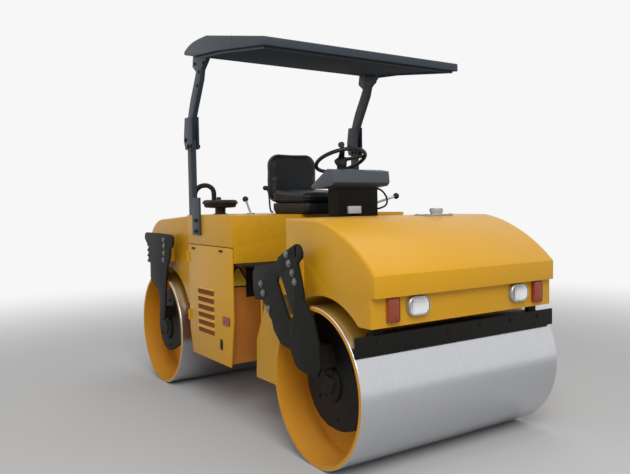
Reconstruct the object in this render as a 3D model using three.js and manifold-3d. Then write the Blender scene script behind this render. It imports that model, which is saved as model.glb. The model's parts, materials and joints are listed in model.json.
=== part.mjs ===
// Tandem road roller: two steel drums, a front and a rear unit joined by an articulation
// yoke, an operator's place on the rear unit and a folding roll bar with a canopy.
//
// Millimetres. +X is forward (the end with the lamps), +Y is the machine's left, +Z is up.
// The origin is on the ground, midway between the two drum axes.

import * as THREE from 'three';
import { mergeVertices } from 'three/addons/utils/BufferGeometryUtils.js';
import Module from 'manifold-3d';

const wasm = await Module();
wasm.setup();

// ---------------------------------------------------------------- driving dimensions

const SEAT_GAP = 0.3;            // gap between pieces that rest on each other
const WELD = 5;                  // how far the parts of one piece run into each other
const THROUGH = 10;              // how far a cutter reaches past what it cuts
const BITE = 1;                  // how far thin plates run into what they are welded to

// Drums
const DRUM_RADIUS = 400;
const DRUM_WIDTH = 1340;
const DRUM_SHELL = 22;
const DRUM_RECESS = 205;         // depth of the hollow in each drum end
const WHEELBASE = 2120;
const BORE_RADIUS = 60;          // drum bearing bore
const BORE_DEPTH = 90;
const BOSS_RADIUS = 150;
const BEARING_GAP = 0.5;

// Front tank. Lengths along X are from the front axle.
const ARCH_GAP = 44;             // clearance between drum and body over it
const TANK_INSET = 61;           // tank side inboard of the drum's end
const TANK_TOP = 1222;
const TANK_BACK = 371;
const TANK_BOTTOM = 733;         // underside in front of the drum
const TANK_HEEL = 660;           // underside behind the drum
const CROWN_START = -75;         // the top is flat up to here
const CROWN_BEND = [[90, 22], [290, 112]];   // bend points: ahead of the axle, below the top
const CROWN_END = 247;           // drop of the top at the nose
const NOSE_REACH = 429;
const NOSE_LIP = 874;            // underside of the nose band
const NOSE_RECESS = 34;          // how far the lamp panel sits behind the nose band
const EDGE_ROUND = 16;           // rounding where the tank's top meets its sides
const FRONT_ARM_BOX = [-320, -180, 830, 1010];
const HEADLIGHT = { y: 344, width: 132, low: 772, high: 866, depth: 30 };
const MARKER_LAMP = { y: 492, width: 68, low: 754, high: 870, depth: 26 };
const FILLER = { x: -105, y: 228, radius: 38, height: 34 };
const FILLER_LID = { back: 65, front: 24, right: 110, left: 96, thick: 8 };   // from the cap's centre

// Front frame, behind the drum. Lengths along X are from the steering pin.
const FRAME_INSET = 79;          // frame side inboard of the drum's end
const FRAME_PLATE = 20;
const FRAME_REAR_AT = 90;
const FRAME_BOTTOM = 288;
const CROSS_WALL_AT = 130;       // cross wall that carries the trunnion bearing
const BRIDGE_LOW = 760;          // bridge between cross wall and tank
const BRIDGE_THICK = 30;
const FRAME_HIGH = 1000;         // where the side plate meets the tank
const FRAME_KNEES = [[217, 739], [101, 510]];   // bends of the side plate's rear edge

// Arms outside the drums, and the hub plates inside their ends
const ARM_GAP = 6;               // drum end to arm plate
const ARM_PLATE = 22;
const HUB_FACE_FRONT = 102;      // outer face of the hub plate, inside the drum's end
const HUB_FACE_REAR = 50;
const HUB_PLATE = 20;
const BOSS_CLEARANCE = 6;        // hub plate to the drum's turning boss
// Outlines are (x, z) from the drum's axis.
const FRONT_ARM_HEAD = { x: -120, z: 650, radius: 50, from: 116, to: -20 };
const FRONT_ARM = [
  [-112, 605], [-99, 563], [-81, 520], [-66, 470], [-60, 430], [-37, 406], [20, 350], [70, 240],
  [90, 120], [60, 66], [-67, 64], [-116, 72], [-145, 85], [-174, 120], [-193, 158], [-297, 172],
  [-328, 199], [-370, 235], [-390, 285], [-412, 299], [-455, 358], [-488, 381], [-575, 376],
  [-596, 430], [-600, 520], [-570, 560], [-440, 575], [-334, 592], [-306, 625], [-236, 657],
];
const TIE_EYE = { x: -128, low: 642, high: 680, radius: 9 };
const ARM_SLOT = { top: [-297, 500], bottom: [-192, 335], radius: 27 };
const FRONT_FOOT = [[-130, 78], [-20, 72], [60, 100], [0, 200], [-150, 200], [-165, 160]];
// Hub plate as (degrees, radius) round the axle: round below, widened ahead of the axle.
const FRONT_HUB = [
  [100, 300], [80, 335], [55, 345], [30, 345], [5, 340], [-15, 325], [-32, 290], [-48, 262],
  [-65, 240], [-80, 226], [-100, 220], [-120, 220], [-140, 222], [-160, 228], [-178, 232],
  [165, 232], [145, 236], [125, 260],
];
const REAR_ARM = [
  [-262, 675], [-230, 691], [36, 693], [275, 689], [313, 677], [321, 655], [300, 603], [258, 589],
  [244, 533], [222, 489], [198, 467], [175, 400], [155, 300], [135, 160], [110, 70], [20, 50],
  [20, 120], [26, 185], [19, 228], [2, 277], [-65, 306], [-155, 335], [-149, 398], [-146, 461],
  [-196, 480], [-193, 530], [-190, 590], [-223, 612], [-263, 640],
];
const REAR_ARM_BOX = [-170, 130, 890, 1060];
const REAR_FOOT = [[30, 70], [95, 80], [110, 150], [60, 165], [30, 150]];
const REAR_HUB = [
  [100, 240], [80, 300], [55, 330], [30, 335], [8, 320], [-10, 280], [-25, 230], [-40, 196],
  [-60, 178], [-80, 176], [-100, 176], [-120, 176], [-140, 176], [-160, 178], [-180, 180],
  [160, 184], [140, 190], [120, 205],
];

// Scrapers ahead of the front drum and behind the rear one, from each axle
const SCRAPER = { face: 363, thick: 12, low: 609, high: 697, shelf: 74, shelfThick: 9 };
const SCRAPER_REACH_FRONT = 673; // half length of the blade
const SCRAPER_REACH_REAR = 600;
const HANGER = { x: 312, length: 28, y: 530, width: 60 };

// Articulation
const PIVOT_X = 200;             // steering pin
const PIN_RADIUS = 35;
const PIN_HEAD = 15;             // head of the steering pin: overhang and height
const PIN_END = 45;              // pin end beyond the yoke
const EAR_RADIUS = 90;
const EAR_THICK = 30;
const YOKE_LOW = 515;
const YOKE_HIGH = 795;
const YOKE_LENGTH = 160;
const YOKE_WIDTH = 140;
const TRUNNION_RADIUS = 60;
const TRUNNION_Z = 650;
const TRUNNION_LENGTH = 275;     // end of the trunnion, from the steering pin
const TRUNNION_NUT = { radius: 90, length: 25 };
const TRUNNION_BOSS = { wall: 40, back: 20, front: 140 };

// Steering cylinder, level, from an eye on the rear frame's wall to a lever on the yoke
const CYLINDER_Z = 602;
const BARREL_EYE = [60, -254, CYLINDER_Z];
const ROD_EYE = [260, -104, CYLINDER_Z];
const CYLINDER_RADIUS = 34;
const ROD_RADIUS = 15;
const NECK_RADIUS = 13;
const BARREL_START = 42;         // distances from the barrel's eye
const BORE_START = 58;
const BARREL_LENGTH = 170;
const ROD_START = 110;
const EYE_RADIUS = 26;
const EYE_HALF = 14;             // half height of both eyes
const EYE_PIN = 12;
const LUG_THICK = 20;
const LEVER_GAP = 2;             // rod's eye above the yoke's lever

// Rear unit's body
const BOX_FRONT = 128;
const BOX_REAR = -548;
const BOX_WIDTH = 1310;
const BOX_BOTTOM = 311;
const BOX_TOP = 1229;
const SKIN = 12;                 // body panels of the rear unit
const ROOF_SKIN = 20;
const FRAME_SHEET = 16;
const WALL_X = 5;                // lower front wall, set back to let the front unit swing
const WALL_THICK = 20;
const BODY_LIP = 29;             // body panels below the floor's underside
const SHELF_Z = 944;             // top of the floor plate
const FLOOR_PLATE = 14;
const FLOOR_TAPER_AT = 233;      // where the floor starts to narrow
const FLOOR_FRONT = 590;
const FLOOR_TAPER = 370;         // how much each side has narrowed at the front edge
const FLOOR_SIDE_GAP = 3;
const DOOR_TOP = 1040;
const DOOR_GAP = 5;
const DOOR_FRONT = 122;
const DOOR_REAR = -545;
const DOOR_TOE = { x: 76, z: 600 };      // the front edge slopes back below this height
const DOOR_HEEL = { x: -502, z: 480 };   // and so does the rear edge
const ENGINE = { rear: -440, front: -60, half: 260, top: 900 };

// Rear tank. Lengths along X are from the rear axle, backwards.
const REAR_LAMP_PROUD = 22;      // rear lamps stand out of the rear tank by this
const REAR_LAMP = { right: 430, left: 540, low: 780, high: 850 };
const REAR_TANK_TOP = 1190;
const REAR_CROWN_START = 100;    // where the top starts to curve down
const REAR_CROWN_BEND = [270, 110];
const REAR_CROWN_END = 900;
const REAR_TANK_HEEL = 620;
const TANK_STEP = 4;             // rear tank's top edge below the deck
const FUEL_CAP = { x: -900, y: 300, radius: 45, height: 38 };

// Roll bar
const POST_LENGTH = 56;          // tube, along X
const POST_DEPTH = 36;           // tube, along Y
const POST_X = -452;
const FOOT_PLATE = 14;
const FOOT = { rear: 37, front: 134, low: 1100, high: 1342 };   // foot plate, from the post's centre
const FOLD_X = -492;             // fold pin
const FOLD_Z = 1720;
const FOLD_PIN = 12;
const LUG_RADIUS = 22;           // lug of the upper post round the fold pin
const LUG_GAP = 3;
const CHEEK = 8;                 // hinge cheeks welded to the lower posts
const CHEEK_GAP = 1.5;
const CHEEK_REACH = { rear: 26, front: 104, low: 64, high: 144, cut: 20 };   // from the fold pin
const POST_GAP = 1;              // between the lower and upper post at the fold
// Upper post's edges above the fold, (x, z) from the fold pin
const POST_FRONT_EDGE = [[101, 137], [129, 186], [165, 245], [236, 362], [255, 421], [304, 457]];
const POST_REAR_EDGE = [[119, 458], [174, 418], [147, 371], [73, 254], [43, 193], [23, 143]];
const POST_TOP_FRONT = -141;
const POST_TOP_REAR = -360;

// Canopy
const CANOPY_OVERHANG = 23;      // beyond the posts' outer faces
const CANOPY_UNDER = [[-443, 2262], [-287, 2228], [59, 2200], [650, 2128]];
const CANOPY_REAR = [-447, 2280];
const CANOPY_CREST = [[-340, 2330], [-240, 2323], [-91, 2321]];
const CANOPY_FRONT = [650, 2176];

// Operator's place
const SEAT = { half: 180, backRear: -332, backFront: -240, top: 1632, low: 1300 };
const CUSHION = { half: 205, front: 225, top: 1395 };
const SEAT_FOOT = { rear: -220, front: 120, half: 170, height: 60 };
const SEAT_BOX_INSET = 20;
const CONSOLE_HALF = 205;
const CONSOLE_HEAD = [
  [395, 1385], [535, 1400], [556, 1419], [548, 1488], [480, 1500], [300, 1405], [305, 1385],
];
const PEDESTAL = { rear: 395, front: 510, half: 145, top: 1400 };
const JUNCTION = { depth: 21, right: -85, left: 5, low: 1234, high: 1279 };
const WHEEL_RADIUS = 169;
const RIM_RADIUS = 12;
const WHEEL_TILT = 24;           // degrees that the column leans back
const WHEEL_CENTRE = [323, 0, 1562];
const WHEEL_HUB = { top: 30, foot: 26, height: 34, drop: 25 };
const SPOKE = { angles: [-27, 63, 153], width: 24, thick: 8, inset: 18 };   // degrees
const KNOB = { angle: -27, top: 20, foot: 15, height: 46 };   // spinner knob on the rim
const COLUMN = { radius: 24, length: 150 };
const LEVER_RADIUS = 7;
const LEVER_KNOB = 20;
const DECK_LEVER = { x: -245, y: -340, lean: -75, rise: 100, foot: 28, footHeight: 8 };
const TRAVEL_LEVER = { x: 455, low: 1290, high: 1338, reach: 185, stand: 2.2 };
const AIR_CLEANER = { x: -614, y: -389, bowlTop: 122, bowlFoot: 108, height: 58, low: 46 };
const CLEANER_STEM = 36;
const CLEANER_NUT = { radius: 16, x: -20, height: 20 };
const HOSE_RADIUS = 17;
// Hose points (x, y, z) from the top of the air cleaner's cover
const HOSE = [
  [-50, -23, 0], [-50, -23, 22], [-54, -27, 70], [-78, -52, 98], [-118, -92, 96], [-146, -118, 60],
  [-150, -122, -60],
];
const HOSE_STEPS = 18;

// ------------------------------------------------------------------------- materials

function paint(color, roughness = 0.45, metalness = 0) {
  return new THREE.MeshStandardMaterial({ color, roughness, metalness });
}

const YELLOW = paint(0xd9a62b, 0.4);
const SLATE = paint(0x3e464e, 0.5);
const BLACK = paint(0x1c1e1c, 0.55);
const STEEL = paint(0xc4c6c8, 0.25, 1);
const VINYL = paint(0x16181a, 0.6);
const RUBBER = paint(0x151515, 0.8);
const CLEAR = paint(0xd8dde0, 0.15);
const RED = paint(0x8e1b14, 0.3);
const GREY = paint(0x8b8d8c, 0.5);
const ENGINE_GREY = paint(0x5a5c5e, 0.6, 0.3);

// ------------------------------------------------------------------ geometry helpers

function box(x0, x1, y0, y1, z0, z1) {
  const geometry = new THREE.BoxGeometry(x1 - x0, y1 - y0, z1 - z0);
  return geometry.translate((x0 + x1) / 2, (y0 + y1) / 2, (z0 + z1) / 2);
}

function toShape(points) {
  return new THREE.Shape(points.map(([u, v]) => new THREE.Vector2(u, v)));
}

// A side outline (x, z) swept across from y0 to y1.
function sidePlate(outline, y0, y1, bevel = 0) {
  const shape = outline instanceof THREE.Shape ? outline : toShape(outline);
  const options = { depth: y1 - y0 - 2 * bevel, bevelEnabled: bevel > 0, curveSegments: 16 };
  if (bevel > 0) {
    Object.assign(options, {
      bevelThickness: bevel, bevelSize: bevel, bevelOffset: -bevel, bevelSegments: 3,
    });
  }
  return new THREE.ExtrudeGeometry(shape, options).rotateX(Math.PI / 2).translate(0, y1 - bevel, 0);
}

// A plan outline (x, y) raised from z0 to z1.
function floorPlate(outline, z0, z1) {
  const options = { depth: z1 - z0, bevelEnabled: false, curveSegments: 16 };
  const shape = outline instanceof THREE.Shape ? outline : toShape(outline);
  return new THREE.ExtrudeGeometry(shape, options).translate(0, 0, z0);
}

function crossRod(radius, x, z, y0, y1, segments = 32) {
  return new THREE.CylinderGeometry(radius, radius, y1 - y0, segments)
    .translate(x, (y0 + y1) / 2, z);
}

function uprightRod(radius, x, y, z0, z1, segments = 32) {
  return new THREE.CylinderGeometry(radius, radius, z1 - z0, segments)
    .rotateX(Math.PI / 2).translate(x, y, (z0 + z1) / 2);
}

function longRod(radius, y, z, x0, x1, segments = 32) {
  return new THREE.CylinderGeometry(radius, radius, x1 - x0, segments)
    .rotateZ(Math.PI / 2).translate((x0 + x1) / 2, y, z);
}

// A rod between two points, lengthened by the overshoot at each end.
function rodBetween(radius, from, to, segments = 16, overshoot = 0) {
  const a = new THREE.Vector3(...from);
  const b = new THREE.Vector3(...to);
  const length = a.distanceTo(b) + 2 * overshoot;
  const turn = new THREE.Quaternion().setFromUnitVectors(
    new THREE.Vector3(0, 1, 0), b.clone().sub(a).normalize());
  const middle = a.clone().add(b).multiplyScalar(0.5);
  return new THREE.CylinderGeometry(radius, radius, length, segments)
    .applyQuaternion(turn).translate(middle.x, middle.y, middle.z);
}

// A round bar bent along a smooth path.
function bentBar(radius, points, steps = 18) {
  const path = new THREE.CatmullRomCurve3(points.map((p) => new THREE.Vector3(...p)));
  const section = new THREE.Shape().absarc(0, 0, radius, 0, 2 * Math.PI);
  return new THREE.ExtrudeGeometry(section, {
    steps, extrudePath: path, curveSegments: 5, bevelEnabled: false,
  });
}

function solid(geometry) {
  const plain = new THREE.BufferGeometry();
  plain.setAttribute('position', geometry.getAttribute('position').clone());
  if (geometry.index) plain.setIndex(geometry.index.clone());
  const merged = mergeVertices(plain, 1e-3);
  return new wasm.Manifold(new wasm.Mesh({
    numProp: 3,
    vertProperties: new Float32Array(merged.getAttribute('position').array),
    triVerts: new Uint32Array(merged.index.array),
  }));
}

function toGeometry(manifold) {
  const mesh = manifold.getMesh();
  const geometry = new THREE.BufferGeometry();
  geometry.setAttribute('position', new THREE.BufferAttribute(mesh.vertProperties, 3));
  geometry.setIndex(new THREE.BufferAttribute(mesh.triVerts, 1));
  return geometry;
}

function join(...geometries) {
  return toGeometry(geometries.map(solid).reduce((a, b) => a.add(b)));
}

function cut(body, ...tools) {
  return toGeometry(tools.map(solid).reduce((a, b) => a.subtract(b), solid(body)));
}

// The same shape on the other side of the machine.
function mirrored(geometry) {
  const copy = geometry.clone().scale(1, -1, 1);
  const index = copy.index ? Array.from(copy.index.array)
    : Array.from({ length: copy.getAttribute('position').count }, (_, i) => i);
  for (let i = 0; i < index.length; i += 3) {
    [index[i], index[i + 1]] = [index[i + 1], index[i]];
  }
  copy.setIndex(index);
  return copy;
}

const machine = new THREE.Group();
const frontUnit = new THREE.Group();
const rearUnit = new THREE.Group();
machine.add(frontUnit, rearUnit);

function place(parent, name, geometry, material) {
  const mesh = new THREE.Mesh(geometry, material);
  mesh.name = name;
  parent.add(mesh);
  return mesh;
}

// Builds a piece for the left side and its mirror image for the right.
function placePair(parent, name, geometry, material) {
  place(parent, `${name}_left`, geometry, material);
  place(parent, `${name}_right`, mirrored(geometry), material);
}

// -------------------------------------------------------------------- derived values

const DRUM_X = WHEELBASE / 2;
const DRUM_HALF = DRUM_WIDTH / 2;
const ARCH_RADIUS = DRUM_RADIUS + ARCH_GAP;
const WEB_Y = DRUM_HALF - DRUM_RECESS;
const TANK_HALF = DRUM_HALF - TANK_INSET;
const TANK_REAR = DRUM_X - TANK_BACK;
const NOSE_FRONT = DRUM_X + NOSE_REACH;
const REAR_TANK_END = REAR_LAMP_PROUD - NOSE_FRONT;
const FRAME_HALF = DRUM_HALF - FRAME_INSET;
const FRAME_REAR = PIVOT_X + FRAME_REAR_AT;
const CROSS_WALL = PIVOT_X + CROSS_WALL_AT;
const BOX_HALF = BOX_WIDTH / 2;
const ARM_IN = DRUM_HALF + ARM_GAP;
const ARM_OUT = ARM_IN + ARM_PLATE;
const FLOOR_UNDER = SHELF_Z - FLOOR_PLATE;
const DECK = BOX_TOP + SEAT_GAP;
const POST_REAR = POST_X - POST_LENGTH / 2;
const POST_FRONT = POST_X + POST_LENGTH / 2;
const POST_OUT = BOX_HALF + SEAT_GAP + FOOT_PLATE;
const POST_IN = POST_OUT - POST_DEPTH;
const CLEANER_TOP = AIR_CLEANER.low + AIR_CLEANER.height;

// Outline points moved to where they are measured from.
function shifted(outline, x, z) {
  return outline.map(([u, v]) => [u + x, v + z]);
}

function archCut(x, half) {
  return crossRod(ARCH_RADIUS, x, DRUM_RADIUS, -half, half, 96);
}

// ------------------------------------------------------------------------------ drums

// Solid of revolution about the drum axis: polished shell, recessed ends, bearing boss.
function drumGeometry(bossFace) {
  const half = [
    [0, bossFace - BORE_DEPTH],
    [BORE_RADIUS, bossFace - BORE_DEPTH],
    [BORE_RADIUS, bossFace],
    [BOSS_RADIUS, bossFace],
    [BOSS_RADIUS, WEB_Y],
    [DRUM_RADIUS - DRUM_SHELL, WEB_Y],
    [DRUM_RADIUS - DRUM_SHELL, DRUM_HALF],
    [DRUM_RADIUS, DRUM_HALF],
  ];
  const other = half.map(([r, y]) => [r, -y]).reverse();
  const profile = [...half, ...other].map(([r, y]) => new THREE.Vector2(r, -y));
  return new THREE.LatheGeometry(profile, 72);
}

function addDrum(name, x, hubFace) {
  const bossFace = hubFace - HUB_PLATE - BOSS_CLEARANCE;
  const drum = place(machine, name, drumGeometry(bossFace), STEEL);
  drum.position.set(x, 0, DRUM_RADIUS);
}

// Hub plate with the stub axle that runs in the drum's bore, and the box that ties the
// plate to the arm outside the drum. The outline is (degrees, radius) round the axle.
function hubGeometry(x, outline, hubFace, foot) {
  const plateIn = hubFace - HUB_PLATE;
  const stubEnd = plateIn - BOSS_CLEARANCE - BORE_DEPTH + DRUM_SHELL;
  const plate = outline.map(([degrees, radius]) => {
    const angle = THREE.MathUtils.degToRad(degrees);
    return [x + radius * Math.cos(angle), DRUM_RADIUS + radius * Math.sin(angle)];
  });
  return join(
    sidePlate(plate.reverse(), plateIn, hubFace),
    crossRod(BORE_RADIUS - BEARING_GAP, x, DRUM_RADIUS, stubEnd, hubFace, 48),
    sidePlate(shifted(foot, x, DRUM_RADIUS), plateIn, ARM_IN - SEAT_GAP),
  );
}

// ------------------------------------------------------------------------- front unit

function frontTank() {
  const armBoxLeft = armBox(DRUM_X, FRONT_ARM_BOX);
  const low = Math.min(TANK_BOTTOM, TANK_HEEL) - ARCH_GAP;
  const bend = CROWN_BEND.flatMap(([x, drop]) => [DRUM_X + x, TANK_TOP - drop]);
  const crown = new THREE.Shape();
  crown.moveTo(TANK_REAR, low);
  crown.lineTo(TANK_REAR, TANK_TOP);
  crown.lineTo(DRUM_X + CROWN_START, TANK_TOP);
  crown.bezierCurveTo(...bend, NOSE_FRONT, TANK_TOP - CROWN_END);
  crown.lineTo(NOSE_FRONT, low);
  const blank = sidePlate(crown, -TANK_HALF, TANK_HALF, EDGE_ROUND);
  const far = NOSE_FRONT + THROUGH;
  const under = low - THROUGH;
  return cut(
    join(blank, armBoxLeft, mirrored(armBoxLeft)),
    archCut(DRUM_X, ARM_IN),
    box(DRUM_X, far, -ARM_IN, ARM_IN, under, TANK_BOTTOM),
    box(TANK_REAR - THROUGH, DRUM_X, -ARM_IN, ARM_IN, under, TANK_HEEL),
    box(NOSE_FRONT - NOSE_RECESS, far, -ARM_IN, ARM_IN, under, NOSE_LIP),
  );
}

function frontFrame() {
  const front = DRUM_X - DRUM_RADIUS;
  const tank = TANK_REAR - SEAT_GAP;
  const side = [
    [FRAME_REAR, FRAME_BOTTOM], [front, FRAME_BOTTOM], [front, TANK_HEEL - 2 * ARCH_GAP],
    [tank, TANK_HEEL], [tank, FRAME_HIGH], ...shifted(FRAME_KNEES, PIVOT_X, 0),
  ];
  const inner = FRAME_HALF - FRAME_PLATE;
  const wall = CROSS_WALL + FRAME_PLATE;
  const high = BRIDGE_LOW + BRIDGE_THICK;
  const bridge = [[CROSS_WALL, BRIDGE_LOW], [wall, BRIDGE_LOW], [tank, high],
    [tank, high + BRIDGE_THICK], [CROSS_WALL, high]];
  const boss = TRUNNION_RADIUS + TRUNNION_BOSS.wall;
  const bossFront = CROSS_WALL + TRUNNION_BOSS.front;
  const plate = sidePlate(side, inner, FRAME_HALF);
  const body = join(
    plate,
    mirrored(plate),
    box(CROSS_WALL, wall, -inner - WELD, inner + WELD, FRAME_BOTTOM, high),
    sidePlate(bridge, -inner - WELD, inner + WELD),
    box(CROSS_WALL, front, -inner - WELD, inner + WELD, FRAME_BOTTOM, FRAME_BOTTOM + FRAME_PLATE),
    longRod(boss, 0, TRUNNION_Z, CROSS_WALL - TRUNNION_BOSS.back, bossFront, 32),
    box(wall - WELD, bossFront, -EAR_RADIUS, EAR_RADIUS, TRUNNION_Z - 2 * TRUNNION_RADIUS, TRUNNION_Z),
  );
  return cut(
    body,
    archCut(DRUM_X, FRAME_HALF + THROUGH),
    longRod(TRUNNION_RADIUS + BEARING_GAP, 0, TRUNNION_Z, PIVOT_X, DRUM_X, 48),
  );
}

// Cutter for a round-ended slot through an arm plate.
function slotTool([x0, z0], [x1, z1], radius) {
  const along = new THREE.Vector2(x1 - x0, z1 - z0).normalize().multiplyScalar(radius);
  const [y0, y1] = [ARM_IN - THROUGH, ARM_OUT + THROUGH];
  const middle = sidePlate([
    [x0 - along.y, z0 + along.x], [x1 - along.y, z1 + along.x],
    [x1 + along.y, z1 - along.x], [x0 + along.y, z0 - along.x],
  ], y0, y1);
  return join(crossRod(radius, x0, z0, y0, y1, 24), crossRod(radius, x1, z1, y0, y1, 24), middle);
}

// Box welded to the tank's side, which the arm bolts to.
function armBox(axle, [x0, x1, z0, z1]) {
  return box(axle + x0, axle + x1, TANK_HALF - WELD, ARM_IN - SEAT_GAP, z0, z1);
}

function frontArm() {
  const { x, z, radius, from, to } = FRONT_ARM_HEAD;
  const turn = THREE.MathUtils.degToRad;
  const outline = new THREE.Shape();
  outline.absarc(DRUM_X + x, DRUM_RADIUS + z, radius, turn(from), turn(to), true);
  for (const point of shifted(FRONT_ARM, DRUM_X, DRUM_RADIUS)) outline.lineTo(...point);
  const [low, high] = shifted(
    [[TIE_EYE.x, TIE_EYE.low], [TIE_EYE.x, TIE_EYE.high]], DRUM_X, DRUM_RADIUS);
  const [top, bottom] = shifted([ARM_SLOT.top, ARM_SLOT.bottom], DRUM_X, DRUM_RADIUS);
  return cut(
    sidePlate(outline, ARM_IN, ARM_OUT),
    slotTool(low, high, TIE_EYE.radius),
    slotTool(top, bottom, ARM_SLOT.radius),
  );
}

function rearArm() {
  return sidePlate(shifted(REAR_ARM, -DRUM_X, DRUM_RADIUS), ARM_IN, ARM_OUT);
}

// Blade across the drum, with a shelf behind it that hangs from the tank.
function scraper(reach) {
  const face = DRUM_X + SCRAPER.face;
  const back = face - SCRAPER.thick;
  const shelf = SCRAPER.high - SCRAPER.shelfThick;
  const x = DRUM_X + HANGER.x;
  const side = HANGER.y + HANGER.width / 2;
  const hanger = box(x, x + HANGER.length, side - HANGER.width, side, shelf, TANK_BOTTOM - SEAT_GAP);
  return join(
    box(back, face, -reach, reach, SCRAPER.low, SCRAPER.high),
    box(face - SCRAPER.shelf, back + BITE, -side, side, shelf, SCRAPER.high),
    hanger,
    mirrored(hanger),
  );
}

function noseLamp({ y, width, low, high, depth }) {
  const x = NOSE_FRONT - NOSE_RECESS + SEAT_GAP;
  return box(x, x + depth, y - width / 2, y + width / 2, low, high);
}

function fillerCap() {
  const seat = TANK_TOP + SEAT_GAP;
  const x = DRUM_X + FILLER.x;
  const { back, front, right, left, thick } = FILLER_LID;
  return join(
    box(x - back, x + front, FILLER.y - right, FILLER.y + left, seat, seat + thick),
    uprightRod(FILLER.radius, x, FILLER.y, seat + thick - BITE, seat + thick + FILLER.height, 32),
  );
}

function addFrontUnit() {
  const hubFace = DRUM_HALF - HUB_FACE_FRONT;
  place(frontUnit, 'front_tank', frontTank(), YELLOW);
  place(frontUnit, 'front_frame', frontFrame(), YELLOW);
  placePair(frontUnit, 'front_arm', frontArm(), BLACK);
  placePair(frontUnit, 'front_hub', hubGeometry(DRUM_X, FRONT_HUB, hubFace, FRONT_FOOT), BLACK);
  place(frontUnit, 'front_scraper', scraper(SCRAPER_REACH_FRONT), BLACK);
  placePair(frontUnit, 'headlight', noseLamp(HEADLIGHT), CLEAR);
  placePair(frontUnit, 'marker_lamp', noseLamp(MARKER_LAMP), RED);
  place(frontUnit, 'filler_cap', fillerCap(), GREY);
  addDrum('front_drum', DRUM_X, hubFace);
}

// ------------------------------------------------------------------------ articulation

// The yoke turns on the steering pin and carries the trunnion that the front unit rocks on.
function yoke() {
  const half = YOKE_WIDTH / 2;
  const end = PIVOT_X + TRUNNION_LENGTH;
  const top = CYLINDER_Z - EYE_HALF - LEVER_GAP;
  const [x, y] = ROD_EYE;
  const lever = floorPlate([[x + EYE_RADIUS, y], [x + EYE_PIN, y - EYE_RADIUS],
    [x - EYE_PIN, y - EYE_RADIUS], [x - EYE_RADIUS, y], [PIVOT_X, -half + WELD],
    [PIVOT_X + YOKE_LENGTH / 2, -half + WELD]].reverse(), top - LUG_THICK, top);
  const body = join(
    box(PIVOT_X - YOKE_LENGTH / 2, PIVOT_X + YOKE_LENGTH / 2, -half, half, YOKE_LOW, YOKE_HIGH),
    longRod(TRUNNION_RADIUS, 0, TRUNNION_Z, PIVOT_X + PIN_RADIUS, end, 48),
    longRod(TRUNNION_NUT.radius, 0, TRUNNION_Z, end - WELD + SEAT_GAP, end + TRUNNION_NUT.length, 32),
    lever,
  );
  return cut(body, pinHole(YOKE_LOW - THROUGH, YOKE_HIGH + THROUGH, BEARING_GAP));
}

// Cutter for the steering pin's hole.
function pinHole(z0, z1, gap) {
  return uprightRod(PIN_RADIUS + gap, PIVOT_X, 0, z0, z1, 48);
}

function alongCylinder(distance) {
  const from = new THREE.Vector3(...BARREL_EYE);
  const direction = new THREE.Vector3(...ROD_EYE).sub(from).normalize();
  return from.addScaledVector(direction, distance).toArray();
}

function cylinderLength() {
  return new THREE.Vector3(...BARREL_EYE).distanceTo(new THREE.Vector3(...ROD_EYE));
}

function cylinderEye([x, y, z]) {
  return uprightRod(EYE_RADIUS, x, y, z - EYE_HALF, z + EYE_HALF, 24);
}

function steeringBarrel() {
  const [x, y, z] = BARREL_EYE;
  const mouth = alongCylinder(BARREL_LENGTH + THROUGH);
  const body = join(
    rodBetween(CYLINDER_RADIUS, alongCylinder(BARREL_START), alongCylinder(BARREL_LENGTH), 32),
    rodBetween(NECK_RADIUS, alongCylinder(EYE_PIN), alongCylinder(BARREL_START + WELD), 16),
    cylinderEye(BARREL_EYE),
  );
  return cut(
    body,
    rodBetween(ROD_RADIUS + SEAT_GAP, alongCylinder(BORE_START), mouth, 24),
    uprightRod(EYE_PIN + SEAT_GAP, x, y, z - EYE_RADIUS, z + EYE_RADIUS, 24),
  );
}

// The rod's eye lies over the yoke's lever with its pin in it, and no pin reaches the lever.
function steeringRod() {
  const [x, y, z] = ROD_EYE;
  return join(
    rodBetween(ROD_RADIUS, alongCylinder(ROD_START), alongCylinder(cylinderLength() - EYE_PIN), 24),
    cylinderEye(ROD_EYE),
    uprightRod(EYE_PIN, x, y, z, z + EYE_HALF + LEVER_GAP, 24),
  );
}

function steeringPin() {
  const top = YOKE_HIGH + PIN_END;
  return join(
    uprightRod(PIN_RADIUS, PIVOT_X, 0, YOKE_LOW - PIN_END, top, 48),
    uprightRod(PIN_RADIUS + PIN_HEAD, PIVOT_X, 0, top, top + PIN_HEAD, 32),
  );
}

// -------------------------------------------------------------------------- rear unit

function ear(z0) {
  const outline = new THREE.Shape();
  outline.moveTo(WALL_X - WELD, -EAR_RADIUS);
  outline.lineTo(PIVOT_X, -EAR_RADIUS);
  outline.absarc(PIVOT_X, 0, EAR_RADIUS, -Math.PI / 2, Math.PI / 2);
  outline.lineTo(WALL_X - WELD, EAR_RADIUS);
  return floorPlate(outline, z0, z0 + EAR_THICK);
}

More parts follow.
